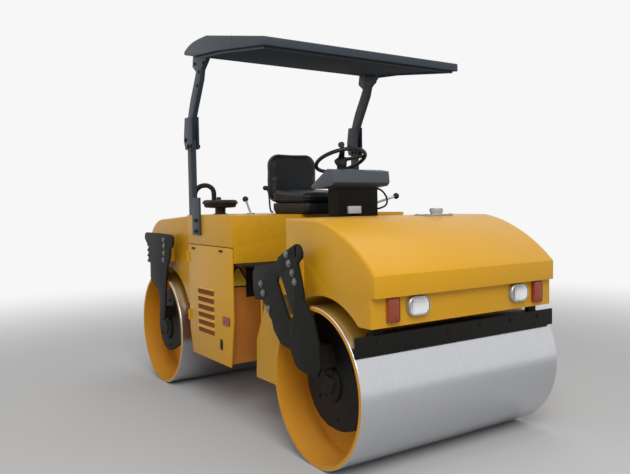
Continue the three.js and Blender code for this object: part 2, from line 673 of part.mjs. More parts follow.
function rearFrame() {
  const inner = BOX_HALF - SKIN - SEAT_GAP;
  const rear = DOOR_HEEL.x;
  const [x, y, z] = BARREL_EYE;
  const lug = z - EYE_HALF - LEVER_GAP;
  const body = join(
    box(WALL_X - WALL_THICK, WALL_X, -inner, inner, BOX_BOTTOM, FLOOR_UNDER),
    box(rear, WALL_X, -inner, inner, BOX_BOTTOM, BOX_BOTTOM + FRAME_SHEET),
    box(rear, rear + FRAME_SHEET, -inner, inner, BOX_BOTTOM, FLOOR_UNDER - BODY_LIP - SEAT_GAP),
    ear(YOKE_LOW - EAR_THICK - SEAT_GAP),
    ear(YOKE_HIGH + SEAT_GAP),
    box(WALL_X - WELD, x + LUG_THICK, y - LUG_THICK, y + LUG_THICK, lug - LUG_THICK, lug),
    uprightRod(EYE_PIN, x, y, lug - WELD, z + EYE_HALF + LEVER_GAP, 24),
  );
  return cut(body, pinHole(YOKE_LOW - PIN_END, YOKE_HIGH + PIN_END, SEAT_GAP));
}

// Hollow body over the engine, open below and at the sides where the doors close it.
function rearBody() {
  const low = FLOOR_UNDER - BODY_LIP;
  const under = low - THROUGH;
  const side = BOX_HALF + THROUGH;
  const upper = box(BOX_REAR, BOX_FRONT, -BOX_HALF, BOX_HALF, low, BOX_TOP);
  const hollow = box(BOX_REAR + SKIN, BOX_FRONT - SKIN, -BOX_HALF + SKIN, BOX_HALF - SKIN,
    under, BOX_TOP - ROOF_SKIN);
  const doorway = box(BOX_REAR - THROUGH, BOX_FRONT + THROUGH, BOX_HALF - SKIN - SEAT_GAP, side,
    under, DOOR_TOP);
  const shelf = box(WALL_X - FLOOR_PLATE, BOX_FRONT + THROUGH, -side, side, under, SHELF_Z + SEAT_GAP);
  return cut(upper, hollow, doorway, mirrored(doorway), shelf);
}

function floorPlateGeometry() {
  const wide = BOX_HALF - SKIN - FLOOR_SIDE_GAP;
  const narrow = wide - FLOOR_TAPER;
  return floorPlate([
    [WALL_X, -wide], [FLOOR_TAPER_AT, -wide], [FLOOR_FRONT, -narrow],
    [FLOOR_FRONT, narrow], [FLOOR_TAPER_AT, wide], [WALL_X, wide],
  ], FLOOR_UNDER + SEAT_GAP, SHELF_Z);
}

function engineDoor() {
  const top = DOOR_TOP - DOOR_GAP;
  const outline = [
    [DOOR_HEEL.x, BOX_BOTTOM], [DOOR_TOE.x, BOX_BOTTOM], [DOOR_FRONT, DOOR_TOE.z],
    [DOOR_FRONT, top], [DOOR_REAR, top], [DOOR_REAR, DOOR_HEEL.z],
  ];
  return sidePlate(outline, BOX_HALF - SKIN, BOX_HALF);
}

function engineBlock() {
  const { rear, front, half, top } = ENGINE;
  return box(rear, front, -half, half, BOX_BOTTOM + FRAME_SHEET + SEAT_GAP, top);
}

function rearTank() {
  const armBoxLeft = armBox(-DRUM_X, REAR_ARM_BOX);
  const front = BOX_REAR - SEAT_GAP;
  const low = REAR_TANK_HEEL - ARCH_GAP;
  const [bend, drop] = REAR_CROWN_BEND;
  const crown = new THREE.Shape();
  crown.moveTo(front, low);
  crown.lineTo(REAR_TANK_END, low);
  crown.lineTo(REAR_TANK_END, REAR_CROWN_END);
  crown.bezierCurveTo(REAR_TANK_END, REAR_TANK_TOP - drop, -DRUM_X - bend, REAR_TANK_TOP,
    -DRUM_X - REAR_CROWN_START, REAR_TANK_TOP);
  crown.lineTo(front, BOX_TOP - TANK_STEP);
  const blank = sidePlate(crown, -TANK_HALF, TANK_HALF, EDGE_ROUND);
  return cut(
    join(blank, armBoxLeft, mirrored(armBoxLeft)),
    archCut(-DRUM_X, ARM_IN),
    box(REAR_TANK_END - THROUGH, -DRUM_X, -ARM_IN, ARM_IN, low - THROUGH, TANK_BOTTOM),
    box(-DRUM_X, front + THROUGH, -ARM_IN, ARM_IN, low - THROUGH, REAR_TANK_HEEL),
  );
}

// The same shape at the other end of the machine.
function turnedRound(geometry) {
  return geometry.clone().rotateZ(Math.PI);
}

function rearLamp() {
  const { right, left, low, high } = REAR_LAMP;
  return box(-NOSE_FRONT, REAR_TANK_END - SEAT_GAP, right, left, low, high);
}

function fuelCap() {
  const { x, y, radius, height } = FUEL_CAP;
  const seat = rearTankTop(x + radius) + SEAT_GAP;
  return uprightRod(radius, x, y, seat, seat + height, 32);
}

function addRearUnit() {
  const hubFace = DRUM_HALF - HUB_FACE_REAR;
  place(rearUnit, 'rear_frame', rearFrame(), YELLOW);
  place(rearUnit, 'steering_pin', steeringPin(), STEEL);
  place(rearUnit, 'rear_body', rearBody(), YELLOW);
  place(rearUnit, 'floor_plate', floorPlateGeometry(), BLACK);
  placePair(rearUnit, 'engine_door', engineDoor(), YELLOW);
  place(rearUnit, 'engine_block', engineBlock(), ENGINE_GREY);
  place(rearUnit, 'rear_tank', rearTank(), YELLOW);
  placePair(rearUnit, 'rear_arm', rearArm(), BLACK);
  placePair(rearUnit, 'rear_hub', hubGeometry(-DRUM_X, REAR_HUB, hubFace, REAR_FOOT), BLACK);
  place(rearUnit, 'rear_scraper', turnedRound(scraper(SCRAPER_REACH_REAR)), BLACK);
  placePair(rearUnit, 'rear_lamp', rearLamp(), RED);
  place(rearUnit, 'fuel_cap', fuelCap(), GREY);
  addDrum('rear_drum', -DRUM_X, hubFace);
}

// ------------------------------------------------------------------- operator's place

function seatBase() {
  const { rear, front, half, height } = SEAT_FOOT;
  const inset = SEAT_BOX_INSET;
  return join(
    box(rear, front, -half, half, DECK, DECK + height),
    box(rear + inset, front - inset, -half + inset, half - inset, DECK + height - WELD, SEAT.low),
  );
}

function addSeat() {
  const { half, backRear, backFront, top, low } = SEAT;
  const back = box(backRear, backFront, -half, half, low, top);
  const cushion = box(backFront + SEAT_GAP, CUSHION.front, -CUSHION.half, CUSHION.half,
    low + SEAT_GAP, CUSHION.top);
  place(rearUnit, 'seat_base', seatBase(), BLACK);
  place(rearUnit, 'seat_cushion', cushion, VINYL);
  place(rearUnit, 'seat_back', back, VINYL);
}

// Point on the steering column's axis, measured down from the wheel's centre.
function alongColumn(distance) {
  const tilt = THREE.MathUtils.degToRad(WHEEL_TILT);
  const [x, y, z] = WHEEL_CENTRE;
  return [x + Math.sin(tilt) * distance, y, z - Math.cos(tilt) * distance];
}

function consoleGeometry() {
  const { rear, front, half, top } = PEDESTAL;
  const head = sidePlate(CONSOLE_HEAD, -CONSOLE_HALF, CONSOLE_HALF);
  const body = join(box(rear, front, -half, half, SHELF_Z + SEAT_GAP, top), head);
  return cut(body, rodBetween(COLUMN.radius + SEAT_GAP, alongColumn(0),
    alongColumn(COLUMN.length + BITE), 24));
}

function steeringColumn() {
  return rodBetween(COLUMN.radius, alongColumn(WHEEL_HUB.drop + SEAT_GAP),
    alongColumn(COLUMN.length), 24);
}

function addSteeringWheel() {
  const reach = WHEEL_RADIUS - RIM_RADIUS;
  const { top, foot, height, drop } = WHEEL_HUB;
  const rim = new THREE.TorusGeometry(reach, RIM_RADIUS, 8, 36);
  const hub = new THREE.CylinderGeometry(top, foot, height, 24).rotateX(Math.PI / 2)
    .translate(0, 0, height / 2 - drop);
  const spokes = SPOKE.angles.map((degrees) => {
    const length = WHEEL_RADIUS - SPOKE.inset;
    return new THREE.BoxGeometry(length, SPOKE.width, SPOKE.thick)
      .translate(length / 2, 0, 0).rotateZ(THREE.MathUtils.degToRad(degrees));
  });
  const knob = new THREE.CylinderGeometry(KNOB.top, KNOB.foot, KNOB.height, 16)
    .rotateX(Math.PI / 2).translate(reach, 0, KNOB.height / 2)
    .rotateZ(THREE.MathUtils.degToRad(KNOB.angle));
  const wheel = place(rearUnit, 'steering_wheel', join(rim, hub, knob, ...spokes), BLACK);
  wheel.position.set(...WHEEL_CENTRE);
  wheel.rotation.y = -THREE.MathUtils.degToRad(WHEEL_TILT);
}

function junctionBox() {
  const { depth, right, left, low, high } = JUNCTION;
  return box(PEDESTAL.front + SEAT_GAP, PEDESTAL.front + depth, right, left, low, high);
}

function lever(foot, top) {
  const [x, y, z] = top;
  return join(
    rodBetween(LEVER_RADIUS, foot, top, 12),
    new THREE.SphereGeometry(LEVER_KNOB, 12, 8).translate(x, y, z),
  );
}

function deckLever() {
  const { x, y, lean, rise, foot, footHeight } = DECK_LEVER;
  return join(
    lever([x, y, DECK + footHeight / 2], [x + lean, y, DECK + rise]),
    uprightRod(foot, x, y, DECK, DECK + footHeight, 24),
  );
}

function travelLever() {
  const { x, low, high, reach, stand } = TRAVEL_LEVER;
  const y = PEDESTAL.half + stand;
  return lever([x, y, low], [x, y + reach, high]);
}

// Height of the rear tank's sloping top at a place along it.
function rearTankTop(x) {
  const bend = -DRUM_X - REAR_CROWN_START;
  const rise = BOX_TOP - TANK_STEP - REAR_TANK_TOP;
  return REAR_TANK_TOP + (rise * (x - bend)) / (BOX_REAR - SEAT_GAP - bend);
}

function cleanerSeat() {
  return rearTankTop(AIR_CLEANER.x + CLEANER_STEM) + SEAT_GAP;
}

function airCleaner() {
  const { x, y, bowlTop, bowlFoot, height, low } = AIR_CLEANER;
  const seat = cleanerSeat();
  const nut = { from: seat + CLEANER_TOP - WELD, to: seat + CLEANER_TOP + CLEANER_NUT.height };
  return join(
    new THREE.CylinderGeometry(bowlTop, bowlFoot, height, 40).rotateX(Math.PI / 2)
      .translate(x, y, seat + low + height / 2),
    uprightRod(CLEANER_STEM, x, y, seat, seat + low + WELD, 24),
    uprightRod(CLEANER_NUT.radius, x + CLEANER_NUT.x, y, nut.from, nut.to, 16),
  );
}

// The hose rises out of the air cleaner's cover and bends down behind the roll bar post.
function intakeHose() {
  const { x, y } = AIR_CLEANER;
  const top = cleanerSeat() + CLEANER_TOP + SEAT_GAP;
  return bentBar(HOSE_RADIUS, HOSE.map((p) => [x + p[0], y + p[1], top + p[2]]), HOSE_STEPS);
}

function addOperatorPlace() {
  addSeat();
  place(rearUnit, 'console', consoleGeometry(), SLATE);
  place(rearUnit, 'steering_column', steeringColumn(), BLACK);
  addSteeringWheel();
  place(rearUnit, 'junction_box', junctionBox(), GREY);
  place(rearUnit, 'deck_lever', deckLever(), BLACK);
  place(rearUnit, 'travel_lever', travelLever(), BLACK);
  place(rearUnit, 'air_cleaner', airCleaner(), BLACK);
  place(rearUnit, 'intake_hose', intakeHose(), RUBBER);
}

// --------------------------------------------------------------- roll bar and canopy

function cheekOutline() {
  const { rear, front, low, high, cut: corner } = CHEEK_REACH;
  return shifted([
    [-rear, corner - low / 2], [corner - rear, -low], [front, -low], [front, high],
    [corner - rear, high], [-rear, low / 2],
  ], FOLD_X, FOLD_Z);
}

function lowerPost() {
  const { rear, front, low, high } = FOOT;
  const foot = [
    [POST_X - rear + POST_LENGTH, low], [POST_X + front, low], [POST_X + front, high],
    [POST_REAR + WELD, high], [POST_REAR + WELD, DECK + WELD], [POST_X - rear + POST_LENGTH, DECK + WELD],
  ];
  const tube = cut(
    box(POST_REAR, POST_FRONT, POST_IN, POST_OUT, DECK, FOLD_Z - POST_GAP),
    crossRod(LUG_RADIUS + LUG_GAP, FOLD_X, FOLD_Z, POST_IN - THROUGH, POST_OUT + THROUGH, 48),
  );
  return join(
    tube,
    sidePlate(foot, BOX_HALF + SEAT_GAP, POST_OUT),
    sidePlate(cheekOutline(), POST_IN - CHEEK, POST_IN + BITE),
    sidePlate(cheekOutline(), POST_OUT - BITE, POST_OUT + CHEEK),
    crossRod(FOLD_PIN, FOLD_X, FOLD_Z, POST_IN - CHEEK, POST_OUT + CHEEK, 24),
  );
}

function upperPost() {
  const [y0, y1] = [POST_IN + BITE + CHEEK_GAP, POST_OUT - BITE - CHEEK_GAP];
  const corner = CANOPY_UNDER[1][0];
  const outline = [
    [POST_REAR, FOLD_Z], [POST_FRONT, FOLD_Z], ...shifted(POST_FRONT_EDGE, FOLD_X, FOLD_Z),
    [POST_TOP_FRONT, canopyUnder(POST_TOP_FRONT)], [corner, canopyUnder(corner)],
    [POST_TOP_REAR, canopyUnder(POST_TOP_REAR)], ...shifted(POST_REAR_EDGE, FOLD_X, FOLD_Z),
  ];
  return cut(
    join(sidePlate(outline, y0, y1), crossRod(LUG_RADIUS, FOLD_X, FOLD_Z, y0, y1, 48)),
    crossRod(FOLD_PIN + SEAT_GAP, FOLD_X, FOLD_Z, y0 - THROUGH, y1 + THROUGH, 24),
  );
}

// Height just under the canopy at a place along it.
function canopyUnder(x) {
  const corners = CANOPY_UNDER;
  for (let i = 1; i < corners.length; i += 1) {
    const [x0, z0] = corners[i - 1];
    const [x1, z1] = corners[i];
    if (x <= x1) return z0 + ((x - x0) / (x1 - x0)) * (z1 - z0) - SEAT_GAP;
  }
  return corners.at(-1)[1] - SEAT_GAP;
}

function canopy() {
  const half = POST_OUT + CANOPY_OVERHANG;
  const outline = new THREE.Shape();
  outline.moveTo(...CANOPY_REAR);
  outline.bezierCurveTo(...CANOPY_CREST.flat());
  outline.lineTo(...CANOPY_FRONT);
  for (const point of [...CANOPY_UNDER].reverse()) outline.lineTo(...point);
  return sidePlate(outline, -half, half);
}

function addRollBar() {
  placePair(rearUnit, 'lower_post', lowerPost(), SLATE);
  placePair(rearUnit, 'upper_post', upperPost(), SLATE);
  place(rearUnit, 'canopy', canopy(), SLATE);
}

addFrontUnit();
place(machine, 'articulation_yoke', yoke(), BLACK);
place(machine, 'steering_barrel', steeringBarrel(), BLACK);
place(machine, 'steering_rod', steeringRod(), STEEL);
addRearUnit();
addOperatorPlace();
addRollBar();

export default machine;
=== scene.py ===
"""Looks of a tandem road roller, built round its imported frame. Lengths are in metres."""
import json
import math

import bmesh
import bpy
from mathutils import Matrix, Vector
from mathutils.geometry import interpolate_bezier


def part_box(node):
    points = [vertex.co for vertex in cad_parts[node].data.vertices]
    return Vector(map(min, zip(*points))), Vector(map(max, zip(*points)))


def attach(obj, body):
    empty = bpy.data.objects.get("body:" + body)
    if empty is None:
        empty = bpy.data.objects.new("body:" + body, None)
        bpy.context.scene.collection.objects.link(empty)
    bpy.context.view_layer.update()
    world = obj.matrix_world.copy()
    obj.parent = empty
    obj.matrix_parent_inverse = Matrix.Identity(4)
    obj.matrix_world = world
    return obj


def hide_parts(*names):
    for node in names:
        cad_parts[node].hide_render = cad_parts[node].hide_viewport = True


bl_info = {
    "name": "Tandem road roller",
    "version": (1, 0, 0),
    "blender": (4, 5, 0),
    "location": "View3D > Sidebar > Roller",
    "description": "Builds the finished surfaces and fittings of a tandem road roller",
    "category": "Object",
}

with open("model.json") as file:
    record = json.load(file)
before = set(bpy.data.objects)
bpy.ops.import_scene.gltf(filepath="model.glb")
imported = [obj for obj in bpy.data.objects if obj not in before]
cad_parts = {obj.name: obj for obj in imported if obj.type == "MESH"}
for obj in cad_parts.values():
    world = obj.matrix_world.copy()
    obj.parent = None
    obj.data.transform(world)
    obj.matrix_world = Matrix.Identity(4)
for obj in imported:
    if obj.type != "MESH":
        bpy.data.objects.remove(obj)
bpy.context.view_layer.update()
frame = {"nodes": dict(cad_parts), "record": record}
NODES = frame["nodes"]
BODY_OF = {node: body for body, nodes in frame["record"]["behaviour"]["bodies"].items()
           for node in nodes}
SIDES = (("left", 1), ("right", -1))

# Places that the pieces share, as the frame has them
DRUM_X, DRUM_RADIUS = 1.06, 0.4
DRUM_HALF, WEB_Y, SHELL = 0.67, 0.465, 0.022   # half width, face of the web, wall of the shell
BORE_RADIUS, BORE_DEPTH, BOSS_RADIUS = 0.06, 0.09, 0.15
BOSS_FACE = {"front": 0.542, "rear": 0.594}
ARM_FACE = 0.6885                # inside the frame's arms, so that bolt heads keep to its width
EDGE_BOLT_X, EDGE_BOLT_Y = -1.256, 0.6825
HUB_FACE = {"front": 0.568, "rear": 0.62}
DOOR_FACE = 0.655
DOOR_HINGE_X = -0.548
LOUVRE_ROWS = [0.478 + 0.05 * k for k in range(6)]
SCRAPER_BOLT_Z = 0.668
FRONT_WALL_X = 0.005
WHEEL_CENTRE = Vector((0.323, 0, 1.562))
WHEEL_TILT = math.radians(24)
SPOKE_ANGLES, KNOB_ANGLE = (-27, 63, 153), -27
FOLD_PIN = (-0.492, 1.72)
POST_FACES = (0.625, 0.677)
FOOT_FACE = 0.6693

AXIS = 0.001                     # inner radius of a turned piece that is closed on its axis
# Stands an outline drawn in (y, z) upright, with its thickness along x
UPRIGHT = Matrix(((0, 0, 1, 0), (1, 0, 0, 0), (0, 1, 0, 0), (0, 0, 0, 1)))


# ------------------------------------------------------------------------- properties

def colour(name, description, value):
    return bpy.props.FloatVectorProperty(
        name=name, description=description, default=(*value, 1.0), size=4,
        subtype="COLOR", min=0, max=1)


def length(name, description, value):
    return bpy.props.FloatProperty(
        name=name, description=description, default=value, min=0, unit="LENGTH",
        subtype="DISTANCE")


class RollerColours(bpy.types.PropertyGroup):
    """Colours of the roller's finishes"""
    body: colour("Body paint", "Yellow enamel on the tanks, frames and doors",
                 (0.64, 0.325, 0.012))
    slate: colour("Canopy paint", "Slate enamel on the canopy and posts", (0.027, 0.037, 0.05))
    black: colour("Chassis paint", "Black enamel on the arms and scrapers",
                  (0.0055, 0.0052, 0.0046))
    steel: colour("Drum steel", "Rolled steel of the drums", (0.61, 0.62, 0.645))
    vinyl: colour("Seat vinyl", "Covering of the seat", (0.008, 0.009, 0.011))
    console: colour("Console paint", "Enamel on the console's head", (0.06, 0.074, 0.094))
    marker: colour("Marker lens", "Lenses of the marker and rear lamps", (0.32, 0.045, 0.012))
    floor: colour("Floor", "Colour of the floor", (0.52, 0.52, 0.52))


class RollerSizes(bpy.types.PropertyGroup):
    """Sizes of the roller's small fittings"""
    panel_edge: length("Panel edge", "Rounding along the edges of bent sheet", 0.006)
    plate_edge: length("Plate edge", "Rounding along the edges of cut plate", 0.003)
    bolt: length("Bolt head", "Radius of a large bolt's head, to its corners", 0.015)
    small_bolt: length("Small bolt head", "Radius of a small bolt's head, to its corners", 0.009)
    louvre: length("Louvre depth", "How far the louvres stand out of the doors", 0.009)
    piping: length("Piping", "Radius of the piping round the seat cushions", 0.0035)
    cushion_swell: length("Cushion swell", "Most that a cushion's cover may swell", 0.01)


# ------------------------------------------------------------------------ node groups

def new_group(name, inputs):
    """A node group with the given inputs, which puts out a colour, a roughness and a height"""
    group = bpy.data.node_groups.new(name, "ShaderNodeTree")
    for label, kind, value in inputs:
        socket = group.interface.new_socket(label, in_out="INPUT", socket_type=kind)
        socket.default_value = value
    for label, kind in (("Color", "NodeSocketColor"), ("Roughness", "NodeSocketFloat"),
                        ("Height", "NodeSocketFloat")):
        group.interface.new_socket(label, in_out="OUTPUT", socket_type=kind)
    return (Wiring(group), group.nodes.new("NodeGroupInput").outputs,
            group.nodes.new("NodeGroupOutput").inputs)


class Wiring:
    """Short names for adding and joining shader nodes"""

    def __init__(self, tree):
        self.tree = tree

    def feed(self, socket, value):
        """Joins a socket to another one, or sets its value"""
        if isinstance(value, bpy.types.NodeSocket):
            self.tree.links.new(value, socket)
        else:
            socket.default_value = value

    def give(self, sockets, *values):
        """Feeds a row of sockets in order, and hands back the node tree"""
        for socket, value in zip(sockets, values):
            self.feed(socket, value)
        return self.tree

    def node(self, kind, sockets=None, **values):
        made = self.tree.nodes.new(kind)
        for key, value in values.items():
            setattr(made, key, value)
        for key, value in (sockets or {}).items():
            self.feed(made.inputs[key], value)
        return made

    def math(self, operation, *values):
        made = self.node("ShaderNodeMath", operation=operation)
        self.give(made.inputs, *values)
        return made.outputs[0]

    def times(self, first, second):
        return self.math("MULTIPLY", first, second)

    def plus(self, first, second):
        return self.math("ADD", first, second)

    def place(self):
        """Where a point lies on its own object"""
        return self.node("ShaderNodeTexCoord").outputs["Object"]

    def ramp(self, value, low, high):
        made = self.node("ShaderNodeMapRange", {"Value": value, "From Min": low, "From Max": high})
        return made.outputs["Result"]

    def mix(self, factor, first, second):
        made = self.node("ShaderNodeMix", {0: factor, 6: first, 7: second}, data_type="RGBA")
        return made.outputs[2]

    def noise(self, vector, scale, detail=4.0, rough=0.55):
        made = self.node("ShaderNodeTexNoise", {
            "Vector": vector, "Scale": scale, "Detail": detail, "Roughness": rough})
        return made.outputs["Fac"]

    def seen_rays(self):
        """1 for the rays that show the backdrop itself: camera, glossy and transmission rays"""
        rays = self.node("ShaderNodeLightPath").outputs
        return self.math("MAXIMUM", self.math("MAXIMUM", rays["Is Camera Ray"],
                                              rays["Is Glossy Ray"]),
                         rays["Is Transmission Ray"])


def paint_group():
    """Enamel on steel: slow shifts of tone, dust that lies on top, orange peel and worn edges"""
    w, inputs, outputs = new_group("enamel_wear", [
        ("Paint", "NodeSocketColor", (0.5, 0.5, 0.5, 1)),
        ("Dust", "NodeSocketColor", (0.35, 0.3, 0.24, 1)),
        ("Worn", "NodeSocketColor", (0.3, 0.28, 0.26, 1)),
        ("Dust Amount", "NodeSocketFloat", 0.2),
        ("Wear", "NodeSocketFloat", 0.4),
        ("Roughness", "NodeSocketFloat", 0.35),
    ])
    place = w.place()
    geometry = w.node("ShaderNodeNewGeometry")
    up = w.node("ShaderNodeSeparateXYZ", {"Vector": geometry.outputs["Normal"]}).outputs["Z"]
    slow = w.noise(place, 2.3, 3.0)
    fine = w.noise(place, 28.0, 6.0, 0.65)
    toned = w.mix(w.times(w.ramp(slow, 0.35, 0.7), 0.16), inputs["Paint"],
                  inputs["Worn"])
    settled = w.times(w.ramp(up, 0.2, 1.0), w.ramp(fine, 0.3, 0.75))
    low = w.node("ShaderNodeSeparateXYZ", {"Vector": place}).outputs["Z"]
    splash = w.times(w.ramp(low, 0.7, 0.1), w.ramp(fine, 0.35, 0.8))
    lies = w.times(w.plus(settled, splash), inputs["Dust Amount"])
    dusty = w.mix(w.math("MINIMUM", lies, 1.0), toned, inputs["Dust"])
    edge = w.ramp(geometry.outputs["Pointiness"], 0.53, 0.62)
    rubbed = w.times(w.times(edge, w.ramp(fine, 0.45, 0.6)),
                    inputs["Wear"])
    worn = w.mix(rubbed, dusty, inputs["Worn"])
    rough = w.plus(inputs["Roughness"], w.times(lies, 0.45))
    peel = w.noise(place, 260.0, 2.0)
    return w.give(outputs, worn, w.plus(rough, w.times(rubbed, 0.2)), peel)


def rolled_group():
    """Bare steel of a drum: fine rings round the drum, polish in bands and small scuffs"""
    w, inputs, outputs = new_group("rolled_steel", [
        ("Steel", "NodeSocketColor", (0.6, 0.6, 0.6, 1)),
        ("Roughness", "NodeSocketFloat", 0.2),
    ])
    place = w.place()
    stretched = w.node("ShaderNodeMapping", {"Vector": place, "Scale": (1.5, 60.0, 1.5)})
    rings = w.noise(stretched.outputs["Vector"], 5.0, 5.0, 0.7)
    bands = w.noise(w.node("ShaderNodeMapping", {"Vector": place, "Scale": (0.4, 4.0, 0.4)})
                    .outputs["Vector"], 2.0, 2.0)
    scuffs = w.ramp(w.noise(place, 34.0, 6.0, 0.7), 0.52, 0.72)
    darker = w.node("ShaderNodeHueSaturation", {"Color": inputs["Steel"], "Value": 0.72})
    tone = w.mix(w.times(w.ramp(rings, 0.3, 0.7), 0.25), inputs["Steel"],
                 darker.outputs["Color"])
    rough = w.plus(inputs["Roughness"], w.plus(w.times(bands, 0.1), w.times(scuffs, 0.05)))
    return w.give(outputs, tone, rough, rings)


def grain_group():
    """Pebbled grain for moulded plastic, rubber and vinyl, with paler creases where it rubs"""
    w, inputs, outputs = new_group("pebble_grain", [
        ("Base", "NodeSocketColor", (0.02, 0.02, 0.02, 1)),
        ("Scale", "NodeSocketFloat", 500.0),
        ("Roughness", "NodeSocketFloat", 0.5),
    ])
    place = w.place()
    pebbles = w.node("ShaderNodeTexVoronoi", {"Vector": place, "Scale": inputs["Scale"]},
                     feature="SMOOTH_F1").outputs["Distance"]
    rubbed = w.ramp(w.noise(place, 9.0, 5.0), 0.45, 0.75)
    pale = w.node("ShaderNodeHueSaturation", {"Color": inputs["Base"], "Value": 2.2})
    tone = w.mix(w.times(rubbed, 0.5), inputs["Base"], pale.outputs["Color"])
    rough = w.plus(inputs["Roughness"], w.times(rubbed, 0.12))
    return w.give(outputs, tone, rough, pebbles)


# -------------------------------------------------------------------------- materials

MATERIALS = {}


def new_material(name):
    """A material with its wiring and its shader's sockets"""
    material = MATERIALS[name] = bpy.data.materials.new(name)
    material.use_nodes = True
    w = Wiring(material.node_tree)
    return material, w, w.tree.nodes["Principled BSDF"].inputs


def finished(name, group, group_values, bump, bump_distance, **shader):
    """A material whose colour, roughness and bump come from one of the shared groups"""
    _, w, surface = new_material(name)
    effect = w.node("ShaderNodeGroup", group_values, node_tree=group)
    relief = w.node("ShaderNodeBump", {
        "Height": effect.outputs["Height"], "Strength": bump, "Distance": bump_distance})
    w.feed(surface["Base Color"], effect.outputs["Color"])
    w.feed(surface["Roughness"], effect.outputs["Roughness"])
    w.feed(surface["Normal"], relief.outputs["Normal"])
    for key, value in shader.items():
        surface[key.replace("_", " ")].default_value = value


def clear_material(name, tint, roughness, transmission):
    """Fluted clear plastic"""
    _, w, surface = new_material(name)
    place = w.place()
    flutes = w.node("ShaderNodeTexWave", {"Vector": place, "Scale": 26.0}, bands_direction="Y")
    haze = w.times(w.noise(place, 40.0), 0.08)
    relief = w.node("ShaderNodeBump", {"Height": flutes.outputs["Fac"], "Strength": 0.25,
                                       "Distance": 0.002})
    tone = w.mix(w.noise(place, 15.0), tint, tuple(0.85 * c for c in tint[:3]) + (1,))
    for key, value in (("Base Color", tone), ("Roughness", w.plus(haze, roughness)),
                       ("Normal", relief.outputs["Normal"]), ("Transmission Weight", transmission),
                       ("IOR", 1.49)):
        w.feed(surface[key], value)


def make_materials():
    colours = bpy.context.scene.roller_colours
    enamel, rolled, grain = paint_group(), rolled_group(), grain_group()
    dust, bare = (0.36, 0.31, 0.24, 1), (0.28, 0.27, 0.26, 1)

    def paint(name, base, worn, dust_amount, wear, rough, specular=0.5, **shader):
        finished(name, enamel, {"Paint": base, "Dust": dust, "Worn": worn,
                                "Dust Amount": dust_amount, "Wear": wear, "Roughness": rough},
                 0.05, 0.001, Specular_IOR_Level=specular, **shader)

    def moulded(name, base, scale, rough, bump, specular):
        finished(name, grain, {"Base": base, "Scale": scale, "Roughness": rough}, bump, 0.0006,
                 Specular_IOR_Level=specular)

    yellow, slate = tuple(colours.body), tuple(colours.slate)
    deep = (yellow[0] * 0.82, yellow[1] * 0.74, yellow[2] * 0.7, 1)
    # Name, paint and what shows where it is worn, then dust, wear, roughness and specular level
    paint("yellow_paint", yellow, deep, 0.05, 0.3, 0.36, 0.22, Coat_Weight=0.05,
          Coat_Roughness=0.15)
    # Painted shade: the yellow of the drum recesses is shifted orange to stand for the shade inside
    # them, and it carries more real dust
    paint("recess_shade_and_dust_paint", (yellow[0], yellow[1] * 0.85, yellow[2], 1), deep, 0.12, 0.3, 0.5, 0.25)
    # Painted shade: a darker, redder yellow for the rear frame's front wall, standing for the shade
    # under the front frame
    paint("shaded_paint", (yellow[0] * 0.74, yellow[1] * 0.46, yellow[2] * 1.6, 1), deep, 0.3,
          0.3, 0.55, 0.15)
    paint("lining", slate, (0.02, 0.02, 0.022, 1), 0.0, 0.1, 0.85, 0.05)
    paint("slate_paint", slate, (0.05, 0.055, 0.06, 1), 0.03, 0.3, 0.45, 0.3)
    paint("console_paint", tuple(colours.console), (0.09, 0.1, 0.11, 1), 0.05, 0.3, 0.4, 0.35)
    paint("black_paint", tuple(colours.black), (0.022, 0.02, 0.017, 1), 0.03, 0.5, 0.55, 0.14)
    paint("bolt_metal", (0.12, 0.125, 0.12, 1), bare, 0.1, 0.4, 0.42, Metallic=0.5)
    paint("grey_metal", (0.42, 0.43, 0.43, 1), bare, 0.1, 0.4, 0.34, Metallic=0.6)
    paint("light_box", (0.5, 0.51, 0.52, 1), bare, 0.1, 0.3, 0.4)
    paint("engine_grey", (0.09, 0.095, 0.1, 1), (0.05, 0.04, 0.03, 1), 0.5, 0.6, 0.6)
    paint("slot_shade", (0.24, 0.075, 0.02, 1), (0.02, 0.01, 0.004, 1), 0.1, 0.1, 0.7, 0.1)
    paint("sign_yellow", (0.8, 0.55, 0.06, 1), deep, 0.2, 0.2, 0.4)
    for name, steel, rough, height in (("drum_steel", tuple(colours.steel), 0.16, 0.03),
                                       ("pin_steel", (0.45, 0.45, 0.46, 1), 0.25, 0.1)):
        finished(name, rolled, {"Steel": steel, "Roughness": rough}, height, 0.0005,
                 Metallic=1.0)
    moulded("seat_vinyl", tuple(colours.vinyl), 620.0, 0.42, 0.25, 0.25)
    moulded("black_rubber", (0.008, 0.008, 0.008, 1), 300.0, 0.62, 0.2, 0.25)
    moulded("black_plastic", (0.01, 0.01, 0.011, 1), 800.0, 0.45, 0.15, 0.3)
    finished("mirror", rolled, {"Steel": (0.9, 0.9, 0.88, 1), "Roughness": 0.08}, 0.02, 0.0003,
             Metallic=1.0)
    clear_material("clear_lens", (1.0, 1.0, 1.0, 1), 0.02, 0.95)
    clear_material("red_lens", tuple(colours.marker), 0.12, 0.15)


# ------------------------------------------------------------------------ mesh makers

def add_rings(bm, rings, closed_path=False):
    """Faces between rings of points, with the end rings closed off"""
    rows = [[bm.verts.new(point) for point in ring] for ring in rings]
    count = len(rows[0])
    last = len(rows) if closed_path else len(rows) - 1
    for i in range(last):
        a, b = rows[i], rows[(i + 1) % len(rows)]
        for k in range(count):
            n = (k + 1) % count
            bm.faces.new((a[k], a[n], b[n], b[k]))
    if not closed_path:
        bm.faces.new(rows[0][::-1])
        bm.faces.new(rows[-1])


def polar(radius, turn, height=0.0):
    """A place at a radius and an angle round the Z axis"""
    return Vector((radius * math.cos(turn), radius * math.sin(turn), height))


